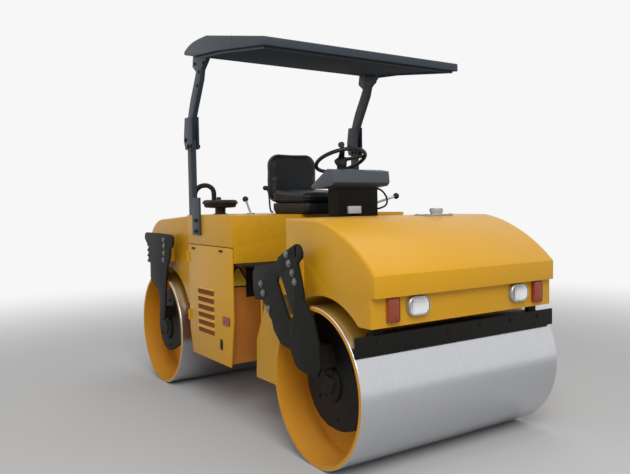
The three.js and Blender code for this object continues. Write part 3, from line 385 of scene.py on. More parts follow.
def add_turned(bm, profile, matrix, segments=48):
    """Solid of revolution from (radius, height) pairs that go round a closed section"""
    rings = [[matrix @ polar(r, 2 * math.pi * k / segments, h) for r, h in profile]
             for k in range(segments)]
    add_rings(bm, rings, closed_path=True)


def add_prism(bm, outline, low, high, matrix):
    """A flat outline made solid between two heights"""
    add_rings(bm, [[matrix @ Vector((x, y, z)) for x, y in outline] for z in (low, high)])


def add_block(bm, low, high):
    """A plain box between two corners"""
    outline = [(low[0], low[1]), (high[0], low[1]), (high[0], high[1]), (low[0], high[1])]
    add_prism(bm, outline, low[2], high[2], Matrix())


def smooth_path(points, steps=8):
    """Points along a curve that passes through the given ones"""
    points = [Vector(p) for p in points]
    path = []
    for i in range(len(points) - 1):
        before = points[max(i - 1, 0)]
        after = points[min(i + 2, len(points) - 1)]
        lead = (points[i + 1] - before) / 6
        trail = (after - points[i]) / 6
        part = interpolate_bezier(points[i], points[i] + lead, points[i + 1] - trail,
                                  points[i + 1], steps + 1)
        path += part[:-1]
    return path + [points[-1]]


def add_pipe(bm, path, radius, sides=12, closed=False):
    """A round bar along a path, with the section carried along without twist"""
    count = len(path)
    rings = []
    normal = None
    for i, point in enumerate(path):
        ahead = path[(i + 1) % count] if closed or i < count - 1 else point
        behind = path[i - 1] if closed or i > 0 else point
        along = (ahead - behind).normalized()
        if normal is None:
            normal = along.orthogonal().normalized()
        normal = (normal - along * normal.dot(along)).normalized()
        across = along.cross(normal)
        rings.append([point + radius * (math.cos(a) * normal + math.sin(a) * across)
                      for a in (2 * math.pi * k / sides for k in range(sides))])
    add_rings(bm, rings, closed_path=closed)


def facing(place, direction):
    """Matrix that stands +Z along a direction at a place"""
    turn = Vector((0, 0, 1)).rotation_difference(Vector(direction))
    return Matrix.Translation(Vector(place)) @ turn.to_matrix().to_4x4()


def add_bolt(bm, place, direction, radius):
    """Washer and chamfered six-sided head"""
    stand = facing(place, direction)
    washer, height, chamfer = radius * 0.16, radius * 0.62, radius * 0.12
    add_turned(bm, [(0.0008, 0), (radius * 1.3, 0), (radius * 1.3, washer), (0.0008, washer)],
               stand, 20)
    hexagon = [(math.cos(k * math.pi / 3), math.sin(k * math.pi / 3)) for k in range(6)]
    levels = [(radius, washer * 0.9), (radius, height - chamfer), (radius - chamfer, height)]
    add_rings(bm, [[stand @ Vector((r * x, r * y, z)) for x, y in hexagon] for r, z in levels])


def rounded(width, height, radius, steps=6, centre=(0, 0)):
    """Outline of a rectangle with round corners"""
    points = []
    for quarter, (sx, sy) in enumerate(((1, 1), (-1, 1), (-1, -1), (1, -1))):
        cx, cy = sx * (width / 2 - radius), sy * (height / 2 - radius)
        for k in range(steps + 1):
            angle = (quarter + k / steps) * math.pi / 2
            points.append((centre[0] + cx + radius * math.cos(angle),
                           centre[1] + cy + radius * math.sin(angle)))
    return points


def dress(obj, material, smooth=32):
    """Gives a mesh its finish, and shades it smooth up to an angle in degrees"""
    obj.data.materials.clear()
    obj.data.materials.append(MATERIALS[material])
    obj.data.shade_smooth()
    obj.data.set_sharp_from_angle(angle=math.radians(smooth))


def mount(obj, body, nodes=()):
    """Ties a piece to its body and hides the nodes that it stands for"""
    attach(obj, body)
    if nodes:
        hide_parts(*nodes)
    return obj


def bevelled(obj, width, segments=3, angle=30):
    """Rounds the sharp edges of a mesh and keeps the result"""
    rounding = obj.modifiers.new("edges", "BEVEL")
    rounding.width, rounding.segments = width, segments
    rounding.limit_method, rounding.angle_limit = "ANGLE", math.radians(angle)
    rounding.miter_outer = "MITER_ARC"
    return applied(obj)


def applied(obj):
    """Keeps what the modifiers make and clears them"""
    bpy.context.view_layer.update()
    graph = bpy.context.evaluated_depsgraph_get()
    result = bpy.data.meshes.new_from_object(obj.evaluated_get(graph))
    obj.modifiers.clear()
    obj.data = result
    return obj


def new_object(name, bm):
    """Puts what a bmesh holds in the scene as an object"""
    mesh = bpy.data.meshes.new(name)
    bm.to_mesh(mesh)
    bm.free()
    obj = bpy.data.objects.new(name, mesh)
    bpy.context.scene.collection.objects.link(obj)
    return obj


def built(name, build):
    """An object from a function that fills a bmesh"""
    bm = bmesh.new()
    build(bm)
    bmesh.ops.recalc_face_normals(bm, faces=bm.faces)
    return new_object(name, bm)


def piece(name, build, body, material, nodes=(), edge=0.0, smooth=32):
    """Makes one named piece with its finish"""
    obj = built(name, build)
    if edge:
        bevelled(obj, edge)
    dress(obj, material, smooth)
    return mount(obj, body, nodes)


def panel(node, material, edge, smooth=32, half_width=None):
    """A finished copy of a frame node with its edges rounded, and no wider than it may be"""
    bm = bmesh.new()
    bm.from_mesh(NODES[node].data)
    if half_width:
        for vertex in bm.verts:
            vertex.co.y = min(max(vertex.co.y, -half_width), half_width)
    bmesh.ops.remove_doubles(bm, verts=bm.verts, dist=1e-5)
    bmesh.ops.dissolve_limit(bm, angle_limit=math.radians(0.4), verts=bm.verts, edges=bm.edges)
    obj = new_object(node + "_finished", bm)
    if edge:
        bevelled(obj, edge)
    dress(obj, material, smooth)
    return mount(obj, BODY_OF[node], (node,))


def coat(node, material):
    """Gives a frame node its finish and leaves its shape"""
    obj = NODES[node]
    obj.data.materials.clear()
    obj.data.materials.append(MATERIALS[material])


def second_finish(obj, material, chosen):
    """Gives some faces of a piece a finish of their own"""
    obj.data.materials.append(MATERIALS[material])
    for face in obj.data.polygons:
        if chosen(face):
            face.material_index = 1


def sizes():
    return bpy.context.scene.roller_sizes


def bolts(name, body, places, radius, material="bolt_metal"):
    """A set of bolts from (place, direction) pairs, as one piece"""
    piece(name, lambda bm: [add_bolt(bm, p, d, radius) for p, d in places], body, material)


def from_axle(x, reach, turn, y):
    """A place at a reach and an angle from a drum's axis"""
    return (x + reach * math.cos(turn), y, DRUM_RADIUS + reach * math.sin(turn))


# --------------------------------------------------------------------------- builders

def drum(end, x):
    """Rolled shell with painted ends, and the webs and bearing boss inside it"""
    shell_in, boss = DRUM_RADIUS - SHELL, BOSS_FACE[end]
    edge = 0.004
    section = [(shell_in, -DRUM_HALF), (DRUM_RADIUS - edge, -DRUM_HALF)]
    arc = [(DRUM_RADIUS - edge + edge * math.sin(a), -DRUM_HALF + edge - edge * math.cos(a))
           for a in (k * math.pi / 10 for k in range(1, 6))]
    section += arc + [(r, -y) for r, y in reversed(arc)]
    section += [(DRUM_RADIUS - edge, DRUM_HALF), (shell_in, DRUM_HALF)]
    axle = facing((x, 0, DRUM_RADIUS), (0, 1, 0))

    def shell(bm):
        add_turned(bm, section, axle, 160)

    body = "front_roller" if end == "front" else "rear_roller"
    obj = piece(end + "_drum_shell", shell, body, "drum_steel", (end + "_drum",), smooth=20)
    # The rims and the inside of the shell take the orange recess paint, which is painted shade
    second_finish(obj, "recess_shade_and_dust_paint", lambda face: Vector(
        (face.center.x - x, 0, face.center.z - DRUM_RADIUS)).length < DRUM_RADIUS - edge)
    inner = [(BORE_RADIUS, boss - BORE_DEPTH), (BORE_RADIUS, boss - 0.004),
             (BORE_RADIUS + 0.004, boss), (BOSS_RADIUS - 0.008, boss), (BOSS_RADIUS, boss - 0.008),
             (BOSS_RADIUS, WEB_Y + 0.012), (BOSS_RADIUS + 0.012, WEB_Y),
             (shell_in - 0.014, WEB_Y), (shell_in - 0.004, WEB_Y + 0.004),
             (shell_in, WEB_Y + 0.014)]

    def web(bm):
        profile = inner + [(r, -h) for r, h in reversed(inner)]
        add_turned(bm, [(AXIS, boss - BORE_DEPTH)] + profile + [(AXIS, -boss + BORE_DEPTH)],
                   axle, 96)
        bolt_ring, bolt_count, plug_ring, plug_turn = 0.2, 10, 0.31, 2.2
        for _, side in SIDES:
            for k in range(bolt_count):
                where = from_axle(x, bolt_ring, 2 * math.pi * (k + 0.5) / bolt_count, side * WEB_Y)
                add_bolt(bm, where, (0, side, 0), sizes().small_bolt)
            plug = from_axle(x, plug_ring, plug_turn, side * WEB_Y)
            add_bolt(bm, plug, (0, side, 0), sizes().bolt)

    # The web's orange recess paint is painted shade inside the drum's recess
    piece(end + "_drum_web", web, body, "recess_shade_and_dust_paint", smooth=25)


ARM_BOLTS = {
    "front": ((0.839, 1.043), (0.863, 0.999), (0.897, 0.953), (0.92, 0.91), (0.558, 0.867),
              (0.579, 0.82), (0.638, 0.74)),
    "rear": ((-0.915, 1.048), (-0.909, 1.005), (-0.913, 0.955), (-0.927, 0.905)),
}
REAR_EDGE_BOLTS = (0.88, 0.92, 0.96, 1.0)
HUB_BOLTS = {
    "front": ((-0.113, -0.082), (0.047, -0.168), (0.184, 0.107), (0.02, 0.22), (-0.16, 0.09)),
    "rear": ((-0.12, -0.06), (0.03, -0.13), (0.17, 0.04), (0.04, 0.2), (-0.1, 0.1)),
}


def axle_cap(end, side_name, side, x):
    """Stepped cap on the axle's end, with six small bolts"""
    bolt_ring, bolt_count, bolt_size, step = 0.068, 6, 0.007, 0.014
    at = HUB_FACE[end]

    def cap(bm):
        add_turned(bm, [(AXIS, 0), (0.09, 0), (0.09, 0.008), (0.084, step), (0.05, 0.016),
                        (0.045, 0.026), (AXIS, 0.026)],
                   facing((x, side * at, DRUM_RADIUS), (0, side, 0)), 48)
        for k in range(bolt_count):
            where = from_axle(x, bolt_ring, k * math.pi / 3, side * (at + step))
            add_bolt(bm, where, (0, side, 0), bolt_size)

    piece(f"{end}_axle_cap_{side_name}", cap, end + "_unit", "black_paint")


def recess_shadow_plate(side_name, side, x):
    """Thin black plate in the drum's recess ahead of and above the front hub, painted as the shade
    that falls there
    """
    inner, outer, thick, behind = 0.2, 0.366, 0.004, 0.012
    start, sweep, steps = 5, 125, 40
    at = HUB_FACE["front"] - behind

    def shield(bm):
        arc = [math.radians(start + sweep * k / steps) for k in range(steps + 1)]
        outline = [(outer * math.cos(a), outer * math.sin(a)) for a in arc]
        outline += [(inner * math.cos(a), inner * math.sin(a)) for a in reversed(arc)]
        rows = [[bm.verts.new((x + u, side * y, DRUM_RADIUS + v)) for u, v in outline]
                for y in (at, at + thick)]
        count = len(outline)
        for k in range(count):
            n = (k + 1) % count
            bm.faces.new((rows[0][k], rows[0][n], rows[1][n], rows[1][k]))
        for row in rows:
            for k in range(steps):
                bm.faces.new((row[k], row[k + 1], row[count - 2 - k], row[count - 1 - k]))

    # Painted shade: a black sheet standing for the shadow in the front drum's recess
    piece(f"front_dust_shield_{side_name}", shield, "front_unit", "black_paint", edge=0.001)


def arms():
    edge = sizes().plate_edge
    for side_name, side in SIDES:
        for end, x in (("front", DRUM_X), ("rear", -DRUM_X)):
            body = end + "_unit"
            panel(f"{end}_arm_{side_name}", "black_paint", edge, half_width=ARM_FACE)
            panel(f"{end}_hub_{side_name}", "black_paint", edge)
            places = [((u, side * ARM_FACE, v), (0, side, 0)) for u, v in ARM_BOLTS[end]]
            bolts(f"{end}_arm_bolts_{side_name}", body, places, sizes().bolt)
            ring = [((x + u, side * HUB_FACE[end], DRUM_RADIUS + v), (0, side, 0))
                    for u, v in HUB_BOLTS[end]]
            bolts(f"{end}_hub_bolts_{side_name}", body, ring, sizes().small_bolt, "black_paint")
            axle_cap(end, side_name, side, x)
            # The front drums also get a black plate as painted shade in their recesses
            if end == "front":
                recess_shadow_plate(side_name, side, x)
        edge_heads = [((EDGE_BOLT_X, side * EDGE_BOLT_Y, z), (-1, 0, 0)) for z in REAR_EDGE_BOLTS]
        bolts(f"rear_arm_edge_bolts_{side_name}", "rear_unit", edge_heads, sizes().small_bolt)


def scraper(end, sign):
    """Blade with its bolts and the rubber strip behind it"""
    panel(end + "_scraper", "black_paint", 0.0015)
    face_reach, strip_reach, strip_thick, strip_half = 0.363, 0.349, 0.006, 0.59
    face = sign * (DRUM_X + face_reach)
    places = [((face, y, SCRAPER_BOLT_Z), (sign, 0, 0))
              for y in (-0.55, -0.33, -0.11, 0.11, 0.33, 0.55)]
    bolts(end + "_scraper_bolts", end + "_unit", places, sizes().small_bolt, "black_paint")

    def strip(bm):
        at = DRUM_X + strip_reach
        ends = sorted((sign * at, sign * (at - strip_thick)))
        add_block(bm, (ends[0], -strip_half, 0.6), (ends[1], strip_half, 0.68))

    piece(end + "_scraper_strip", strip, end + "_unit", "black_rubber", edge=0.001)


def lamp(node, side_name, material, inset, corner):
    """Bezel and lens of one lamp, and a reflector where the lens is clear"""
    low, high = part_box(f"{node}_{side_name}")
    centre = ((low.y + high.y) / 2, (low.z + high.z) / 2)
    width, height = high.y - low.y, high.z - low.z
    step = 1 if low.x > 0 else -1
    back, face = (low.x, high.x) if step > 0 else (high.x, low.x)
    body = BODY_OF[f"{node}_{side_name}"]

    def bezel(bm):
        outer = [rounded(width - k, height - k, corner, centre=centre) for k in (0, 0, 0.006)]
        inner = [rounded(width - 2 * inset - k, height - 2 * inset - k, corner * 0.8,
                         centre=centre) for k in (0, 0.01)]
        rings = [(outer[0], back), (outer[1], face - step * 0.008), (outer[2], face - step * 0.003),
                 (inner[0], face - step * 0.003), (inner[1], back + step * 0.006)]
        add_rings(bm, [[UPRIGHT @ Vector((y, z, x)) for y, z in ring] for ring, x in rings])

    piece(f"{node}_bezel_{side_name}", bezel, body,
          "grey_metal" if node == "headlight" else "red_lens", (f"{node}_{side_name}",))

    def lens(bm):
        shape = [(inset, 0.009), (inset, 0.006), (inset + 0.012, 0.001), (inset + 0.03, 0)]
        rings = [[UPRIGHT @ Vector((y, z, back + step * 0.008)) for y, z in
                  rounded(width - 2 * inset - 0.001, height - 2 * inset - 0.001, corner * 0.8,
                          centre=centre)]]
        for k, drop in shape:
            ring = rounded(max(width - 2 * k - 0.001, 0.02), max(height - 2 * k - 0.001, 0.014),
                           max(corner * 0.8 - (k - inset), 0.006), centre=centre)
            rings.append([UPRIGHT @ Vector((y, z, face - step * drop)) for y, z in ring])
        add_rings(bm, rings)

    piece(f"{node}_lens_{side_name}", lens, body, material)
    if node != "headlight":
        return

    def reflector(bm):
        bowl = [(1.0, 0.012), (0.8, 0.02), (0.5, 0.0245), (0.2, 0.0265)]
        rings = [[UPRIGHT @ Vector((centre[0] + (y - centre[0]) * k,
                                    centre[1] + (z - centre[1]) * k, face - step * drop))
                  for y, z in rounded(width - 2 * inset - 0.004, height - 2 * inset - 0.004,
                                      corner * 0.78, centre=centre)] for k, drop in bowl]
        add_rings(bm, rings)

    piece(f"{node}_reflector_{side_name}", reflector, body, "mirror")


def lamps():
    for side_name, _ in SIDES:
        lamp("headlight", side_name, "clear_lens", 0.007, 0.04)
        lamp("marker_lamp", side_name, "red_lens", 0.0025, 0.008)
        lamp("rear_lamp", side_name, "red_lens", 0.004, 0.01)


def door(side_name, side):
    """One engine door with its louvres, the dark slots under them, locks and hinges"""
    depth = sizes().louvre
    panel("engine_door_" + side_name, "yellow_paint", 0.0025)
    body = BODY_OF["engine_door_" + side_name]

    def louvres(bm):
        hood = [(0, 0.038), (0.4 * depth, 0.036), (0.9 * depth, 0.03), (depth, 0.026),
                (0.85 * depth, 0.025), (0, 0.032)]
        stations = ((-0.402, 0.05), (-0.397, 0.8), (-0.389, 1), (-0.154, 1), (-0.146, 0.8),
                    (-0.141, 0.05))
        for z in LOUVRE_ROWS:
            add_rings(bm, [[Vector((x, side * (DOOR_FACE + share * out), z + up))
                            for out, up in hood] for x, share in stations])

    piece("door_louvres_" + side_name, louvres, body, "yellow_paint", smooth=40)

    # Painted shade: thin reddish-brown plates on the door face stand for the shade inside the
    # louvre openings
    def slots(bm):
        middle_x, rise, size, corner = -0.2715, 0.013, (0.25, 0.04), 0.012
        for z in LOUVRE_ROWS:
            stand = facing((middle_x, side * DOOR_FACE, z + rise), (0, side, 0))
            add_prism(bm, rounded(*size, corner), 0, 0.0012, stand)

    piece("door_slots_" + side_name, slots, body, "slot_shade")

    def lock(bm):
        for x, z, wide, high in ((-0.045, 0.433, 0.034, 0.07), (-0.46, 1.01, 0.05, 0.014),
                                 (-0.03, 1.012, 0.05, 0.014)):
            narrow = min(wide, high)
            stand = Matrix(((1, 0, 0, x), (0, 0, side, side * DOOR_FACE), (0, 1, 0, z),
                            (0, 0, 0, 1)))
            add_prism(bm, rounded(wide, high, narrow * 0.49), 0, 0.004, stand)
            add_prism(bm, rounded(wide * 0.5, high * 0.5, narrow * 0.2), 0.003, 0.008, stand)

    piece("door_locks_" + side_name, lock, body, "black_plastic")

    def reflector(bm):
        stand = facing((0.034, side * DOOR_FACE, 0.588), (0, side, 0))
        outline = rounded(0.095, 0.052, 0.006)
        add_rings(bm, [[stand @ Vector((x * k, y * k, z)) for x, y in outline]
                       for k, z in ((1, 0), (1, 0.004), (0.96, 0.006))])

    piece("door_reflector_" + side_name, reflector, body, "red_lens")

    def hinges(bm):
        for z in (0.56, 0.95):
            path = [Vector((DOOR_HINGE_X, side * (DOOR_FACE + 0.003), z + end))
                    for end in (-0.035, 0.035)]
            add_pipe(bm, path, 0.007, 16)

    piece("door_hinges_" + side_name, hinges, body, "yellow_paint")


def warning_sign():
    """Blank three-cornered sign on the front wall, and a thin black sheet beside it painted as the
    shade of the recess there
    """
    reach, corner = 0.088, 0.012
    sign_y, sign_z = -0.562, 0.835
    stand = Matrix.Translation((FRONT_WALL_X, sign_y, sign_z)) @ UPRIGHT

    def plate(bm, scale, low, high):
        outline = []
        for k in range(3):
            turn = math.pi / 2 + k * 2 * math.pi / 3
            tip = polar(1, turn).xy * (reach * scale - corner)
            for j in range(-3, 4):
                angle = turn + j * math.pi / 9
                outline.append((tip.x + corner * math.cos(angle), tip.y + corner * math.sin(angle)))
        add_prism(bm, outline, low, high, stand)

    # Painted shade: a thin black sheet standing for the shaded recess in the front wall
    def bay(bm):
        add_block(bm, (FRONT_WALL_X, -0.508, 0.72), (FRONT_WALL_X + 0.0015, 0.485, 0.929))

    piece("recess_shade_sheet", bay, "rear_unit", "black_rubber")
    piece("blank_sign_border", lambda bm: plate(bm, 1.0, 0, 0.001), "rear_unit", "black_paint")
    piece("blank_sign_field", lambda bm: plate(bm, 0.8, 0.001, 0.0014), "rear_unit", "sign_yellow")


def knurled_cap(bm, stand, profile, reach, low, high, count):
    """Turned cap with round ribs standing round its grip"""
    add_turned(bm, profile, stand, 40)
    for k in range(count):
        path = [stand @ polar(reach, k * math.pi / (count / 2), h) for h in (low, high)]
        add_pipe(bm, path, 0.003, 8)


def caps():
    low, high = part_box("filler_cap")
    plate, inset, screw = 0.007, 0.012, 0.006
    neck_x, neck_y = 0.955, 0.228

    def filler(bm):
        top = low.z + plate
        add_block(bm, (low.x, low.y, low.z), (high.x, high.y, top))
        knurled_cap(bm, facing((neck_x, neck_y, top), (0, 0, 1)),
                    [(AXIS, 0), (0.034, 0), (0.034, 0.012), (0.038, 0.014), (0.038, 0.03),
                     (0.035, 0.034), (AXIS, 0.034)], 0.0365, 0.014, 0.03, 12)
        for x in (low.x + inset, high.x - inset):
            for y in (low.y + inset, high.y - inset):
                add_bolt(bm, (x, y, top), (0, 0, 1), screw)

    piece("filler_cap_finished", filler, "front_unit", "grey_metal", ("filler_cap",))
    low_fuel, high_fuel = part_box("fuel_cap")
    middle = (low_fuel + high_fuel) / 2

    def fuel(bm):
        knurled_cap(bm, facing((middle.x, middle.y, low_fuel.z), (0, 0, 1)),
                    [(AXIS, 0), (0.04, 0), (0.04, 0.01), (0.045, 0.012), (0.045, 0.032),
                     (0.041, 0.038), (AXIS, 0.038)], 0.0425, 0.012, 0.032, 16)

    piece("fuel_cap_finished", fuel, "rear_unit", "black_plastic", ("fuel_cap",))


def bodywork():
    edge = sizes().panel_edge
    panel("front_tank", "yellow_paint", edge, smooth=40)
    panel("rear_tank", "yellow_paint", edge, smooth=40)
    panel("rear_body", "yellow_paint", sizes().plate_edge)
    panel("front_frame", "yellow_paint", sizes().plate_edge)
    # The rear frame's darker, redder yellow is painted shade
    panel("rear_frame", "shaded_paint", sizes().plate_edge)
    panel("floor_plate", "black_paint", 0.002)
    coat("engine_block", "engine_grey")


def articulation():
    for node, material in (("articulation_yoke", "black_paint"), ("steering_barrel", "black_paint"),
                           ("steering_rod", "pin_steel"), ("steering_pin", "pin_steel")):
        panel(node, material, 0.002)


CUSHION_EDGE, VOXEL = 0.022, 0.006
PRESSURE, FRAMES = 4, 20


def cushion_shape(name, build):
    """A closed form, remeshed finely so that it can swell evenly"""
    obj = built(name, build)
    bevelled(obj, CUSHION_EDGE, segments=4, angle=40)
    remesh = obj.modifiers.new("even", "REMESH")
    remesh.mode, remesh.voxel_size = "VOXEL", VOXEL
    return applied(obj)


def swell(obj, low, high):
    """Lets pressure fill the cover, holds every point near its start, and keeps it in its box"""
    start = [v.co.copy() for v in obj.data.vertices]
    cloth = obj.modifiers.new("cover", "CLOTH")
    cloth.settings.use_pressure = True
    cloth.settings.uniform_pressure_force = PRESSURE
    cloth.settings.effector_weights.gravity = 0
    scene = bpy.context.scene
    for number in range(1, FRAMES + 1):
        scene.frame_set(number)
    applied(obj)
    scene.frame_set(1)
    cap = sizes().cushion_swell
    for vertex, rest in zip(obj.data.vertices, start):
        moved = vertex.co - rest
        if moved.length > cap:
            vertex.co = rest + moved * (cap / moved.length)
        for k in range(3):
            vertex.co[k] = min(max(vertex.co[k], low[k]), high[k])
    relax = obj.modifiers.new("relax", "CORRECTIVE_SMOOTH")
    relax.factor, relax.iterations = 0.5, 4
    relax.use_only_smooth = True
    finer = obj.modifiers.new("finer", "SUBSURF")
    finer.levels = finer.render_levels = 1
    return applied(obj)


def seat():
    back_low, back_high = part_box("seat_back")
    low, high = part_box("seat_cushion")
    margin, fall = 0.008, 0.03                       # room to swell, drop of the cushion's front
    extra_width, extra_height, lift = 0.024, 0.006, 0.005
    narrowing = 0.03                                 # of the back's width, towards its top
    proud = Vector((0, 0.022, 0.018))

    def cushion(bm):
        centre = ((low.x + high.x) / 2, (low.y + high.y) / 2)
        outline = rounded(high.x - low.x - margin, high.y - low.y - margin, 0.05, centre=centre)
        add_prism(bm, outline, low.z + 0.001, high.z - 0.008, Matrix())
        for vertex in bm.verts:
            if vertex.co.z > low.z + 0.01:
                forward = max(0.0, (vertex.co.x - low.x) / (high.x - low.x))
                vertex.co.z -= fall * forward

    def back(bm):
        width = back_high.y - back_low.y + extra_width
        height = back_high.z - back_low.z + extra_height
        middle = (0, (back_low.z + back_high.z) / 2 + lift)
        outline = []
        for y, z in rounded(width, height, 0.08, 10, middle):
            high_up = min(1, max(0, (z - back_low.z) / height))
            outline.append((y * (1 - narrowing * high_up ** 3), z))
        add_prism(bm, outline, back_low.x + 0.01, back_high.x - 0.012, UPRIGHT)

    soft = swell(cushion_shape("seat_cushion_cover", cushion), low, high)
    dress(soft, "seat_vinyl", 60)
    mount(soft, "rear_unit", ("seat_cushion",))
    rest = swell(cushion_shape("seat_back_cover", back), back_low - Vector((0, proud.y, 0)),
                 back_high + proud)
    dress(rest, "seat_vinyl", 60)
    mount(rest, "rear_unit", ("seat_back",))
    seat_trim(low, high, back_low, back_high)


def seat_trim(low, high, back_low, back_high):
    """Piping, the seat's frame and its side lever"""
    radius = sizes().piping

    def piping(bm):
        for z, drop in ((low.z + 0.022, 0.0), (high.z - 0.03, 0.03)):
            loop = [Vector((x, y, z - drop * (x - low.x) / (high.x - low.x)))
                    for x, y in rounded(high.x - low.x - 0.01, high.y - low.y - 0.01, 0.05, 8,
                                        ((low.x + high.x) / 2, 0))]
            add_pipe(bm, loop, radius, 8, closed=True)

    piece("seat_piping", piping, "rear_unit", "seat_vinyl", smooth=60)

    def lever(bm):
        path = smooth_path([(-0.2, -0.2, 1.24), (-0.2, -0.218, 1.26), (-0.21, -0.222, 1.36),
                            (-0.235, -0.222, 1.398)])
        add_pipe(bm, path, 0.006, 10)
        add_turned(bm, [(AXIS, 0), (0.01, 0), (0.016, 0.01), (0.016, 0.03), (0.01, 0.04),
                        (AXIS, 0.04)], facing((-0.235, -0.222, 1.4), (-1, 0, 0.1)), 24)

    piece("seat_lever", lever, "rear_unit", "black_plastic", smooth=45)
    panel("seat_base", "black_paint", 0.006)

    def pan(bm):
        outline = rounded(0.45, 0.37, 0.04, centre=(-0.022, 0))
        add_rings(bm, [[(x * k, y * k, z) for x, y in outline]
                       for k, z in ((0.96, 1.236), (1.0, 1.26), (1.0, 1.3))])

    piece("seat_pan", pan, "rear_unit", "black_plastic", edge=0.004)

    def shell(bm):
        outline = rounded(0.32, 0.3, 0.06, 8, (0, (back_low.z + back_high.z) / 2 - 0.01))
        add_prism(bm, outline, back_low.x + 0.0005, back_low.x + 0.01, UPRIGHT)

    piece("seat_back_shell", shell, "rear_unit", "black_plastic", edge=0.003)


CONSOLE_HEAD_Z, KNOB_REACH = 1.38, 0.024
LEVER_KNOBS = (("deck_lever", (-0.32, -0.34, 1.3293)), ("travel_lever", (0.455, 0.3322, 1.338)))


def console():
    head = panel("console", "console_paint", 0.008, smooth=40)
    second_finish(head, "black_paint", lambda face: face.center.z < CONSOLE_HEAD_Z)
    panel("junction_box", "light_box", 0.003)
    panel("steering_column", "black_paint", 0.0)
    down = Vector((math.sin(WHEEL_TILT), 0, -math.cos(WHEEL_TILT)))

    def boot(bm):
        folds = [(0.03 + 0.003 * k + 0.004 * (k % 2), 0.06 + 0.0085 * k) for k in range(8)]
        profile = [(AXIS, 0.05), (0.026, 0.05), *folds, (0.056, 0.125), (AXIS, 0.125)]
        add_turned(bm, profile, facing(WHEEL_CENTRE, down), 40)

    piece("column_boot", boot, "rear_unit", "black_rubber", smooth=50)

    def dials(bm):
        slope = Vector((0.18, 0, 0.095)).normalized()
        centre = Vector((0.39, 0, 1.4525))
        normal = slope.cross(Vector((0, -1, 0))).normalized()
        ahead, lift, large, small = 0.02, 0.0005, 0.03, 0.012
        for y, radius in ((-0.13, large), (0.13, large), (-0.06, small), (0.06, small)):
            where = centre + slope * ahead + Vector((0, y, 0)) + normal * lift
            add_turned(bm, [(AXIS, 0), (radius, 0), (radius, 0.003), (radius - 0.003, 0.006),
                            (AXIS, 0.004)], facing(where, normal), 32)

    piece("console_dials", dials, "rear_unit", "black_plastic")

    def cable(bm):
        loop = smooth_path([(0.47, 0.15, 1.385), (0.47, 0.189, 1.38), (0.47, 0.224, 1.357),
                            (0.47, 0.247, 1.319), (0.47, 0.238, 1.282), (0.47, 0.191, 1.263),
                            (0.47, 0.143, 1.258)])
        add_pipe(bm, loop, 0.006, 10)

    piece("console_cable", cable, "rear_unit", "black_rubber", smooth=60)
    for name, knob in LEVER_KNOBS:
        second_finish(panel(name, "black_plastic", 0.0, smooth=50), "grey_metal",
                      lambda face: (face.center - Vector(knob)).length > KNOB_REACH)


def steering_wheel():
    tilt = Matrix.Translation(WHEEL_CENTRE) @ Matrix.Rotation(-WHEEL_TILT, 4, "Y")
    reach, rim = 0.157, 0.012

    def wheel(bm):
        loop = [tilt @ polar(reach, 2 * math.pi * k / 96) for k in range(96)]
        add_pipe(bm, loop, rim, 16, closed=True)
        add_turned(bm, [(AXIS, -0.04), (0.028, -0.04), (0.04, -0.006), (0.04, 0.006),
                        (0.032, 0.011), (AXIS, 0.011)], tilt, 40)
        for degrees in SPOKE_ANGLES:
            turn = Matrix.Rotation(math.radians(degrees), 4, "Z")
            outline = [(0.02, -0.024), (0.05, -0.019), (0.148, -0.014), (0.148, 0.014),
                       (0.05, 0.019), (0.02, 0.024)]
            add_prism(bm, outline, -0.004, 0.004, tilt @ turn)

    piece("steering_wheel_finished", wheel, "hand_wheel", "black_plastic", ("steering_wheel",),
          smooth=50)

    def knob(bm):
        foot = tilt @ polar(reach, math.radians(KNOB_ANGLE), 0.008)
        up = tilt.to_3x3() @ Vector((0, 0, 1))
        add_turned(bm, [(AXIS, 0), (0.014, 0), (0.012, 0.008), (0.018, 0.016), (0.02, 0.028),
                        (0.016, 0.036), (AXIS, 0.038)], facing(foot, up), 32)

    piece("steering_knob", knob, "hand_wheel", "black_plastic", smooth=60)


def air_intake():
    low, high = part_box("air_cleaner")
    centre = ((low.x + high.x) / 2, (low.y + high.y) / 2)
    base = low.z

    def bowl(bm):
        stand = facing((*centre, base), (0, 0, 1))
        add_turned(bm, [(AXIS, 0), (0.05, 0), (0.05, 0.006), (0.036, 0.01), (0.036, 0.046),
                        (0.1, 0.05), (0.108, 0.056), (0.113, 0.074), (0.12, 0.076), (0.122, 0.08),
                        (0.122, 0.086), (0.118, 0.09), (0.112, 0.1), (0.09, 0.104),
                        (AXIS, 0.1035)], stand, 72)
        add_turned(bm, [(AXIS, 0.1), (0.016, 0.1), (0.016, 0.116), (0.012, 0.123), (AXIS, 0.1235)],
                   facing((centre[0] - 0.02, centre[1], base), (0, 0, 1)), 24)
        clips, first_clip = 3, 0.6
        for k in range(clips):
            turn = first_clip + k * 2 * math.pi / clips
            clip = [stand @ polar(r, turn, h)
                    for r, h in ((0.109, 0.062), (0.119, 0.07), (0.121, 0.088), (0.112, 0.1))]
            add_pipe(bm, clip, 0.003, 6)

    piece("air_cleaner_finished", bowl, "rear_unit", "black_plastic", ("air_cleaner",), smooth=35)
    panel("intake_hose", "black_rubber", 0.0, smooth=60)


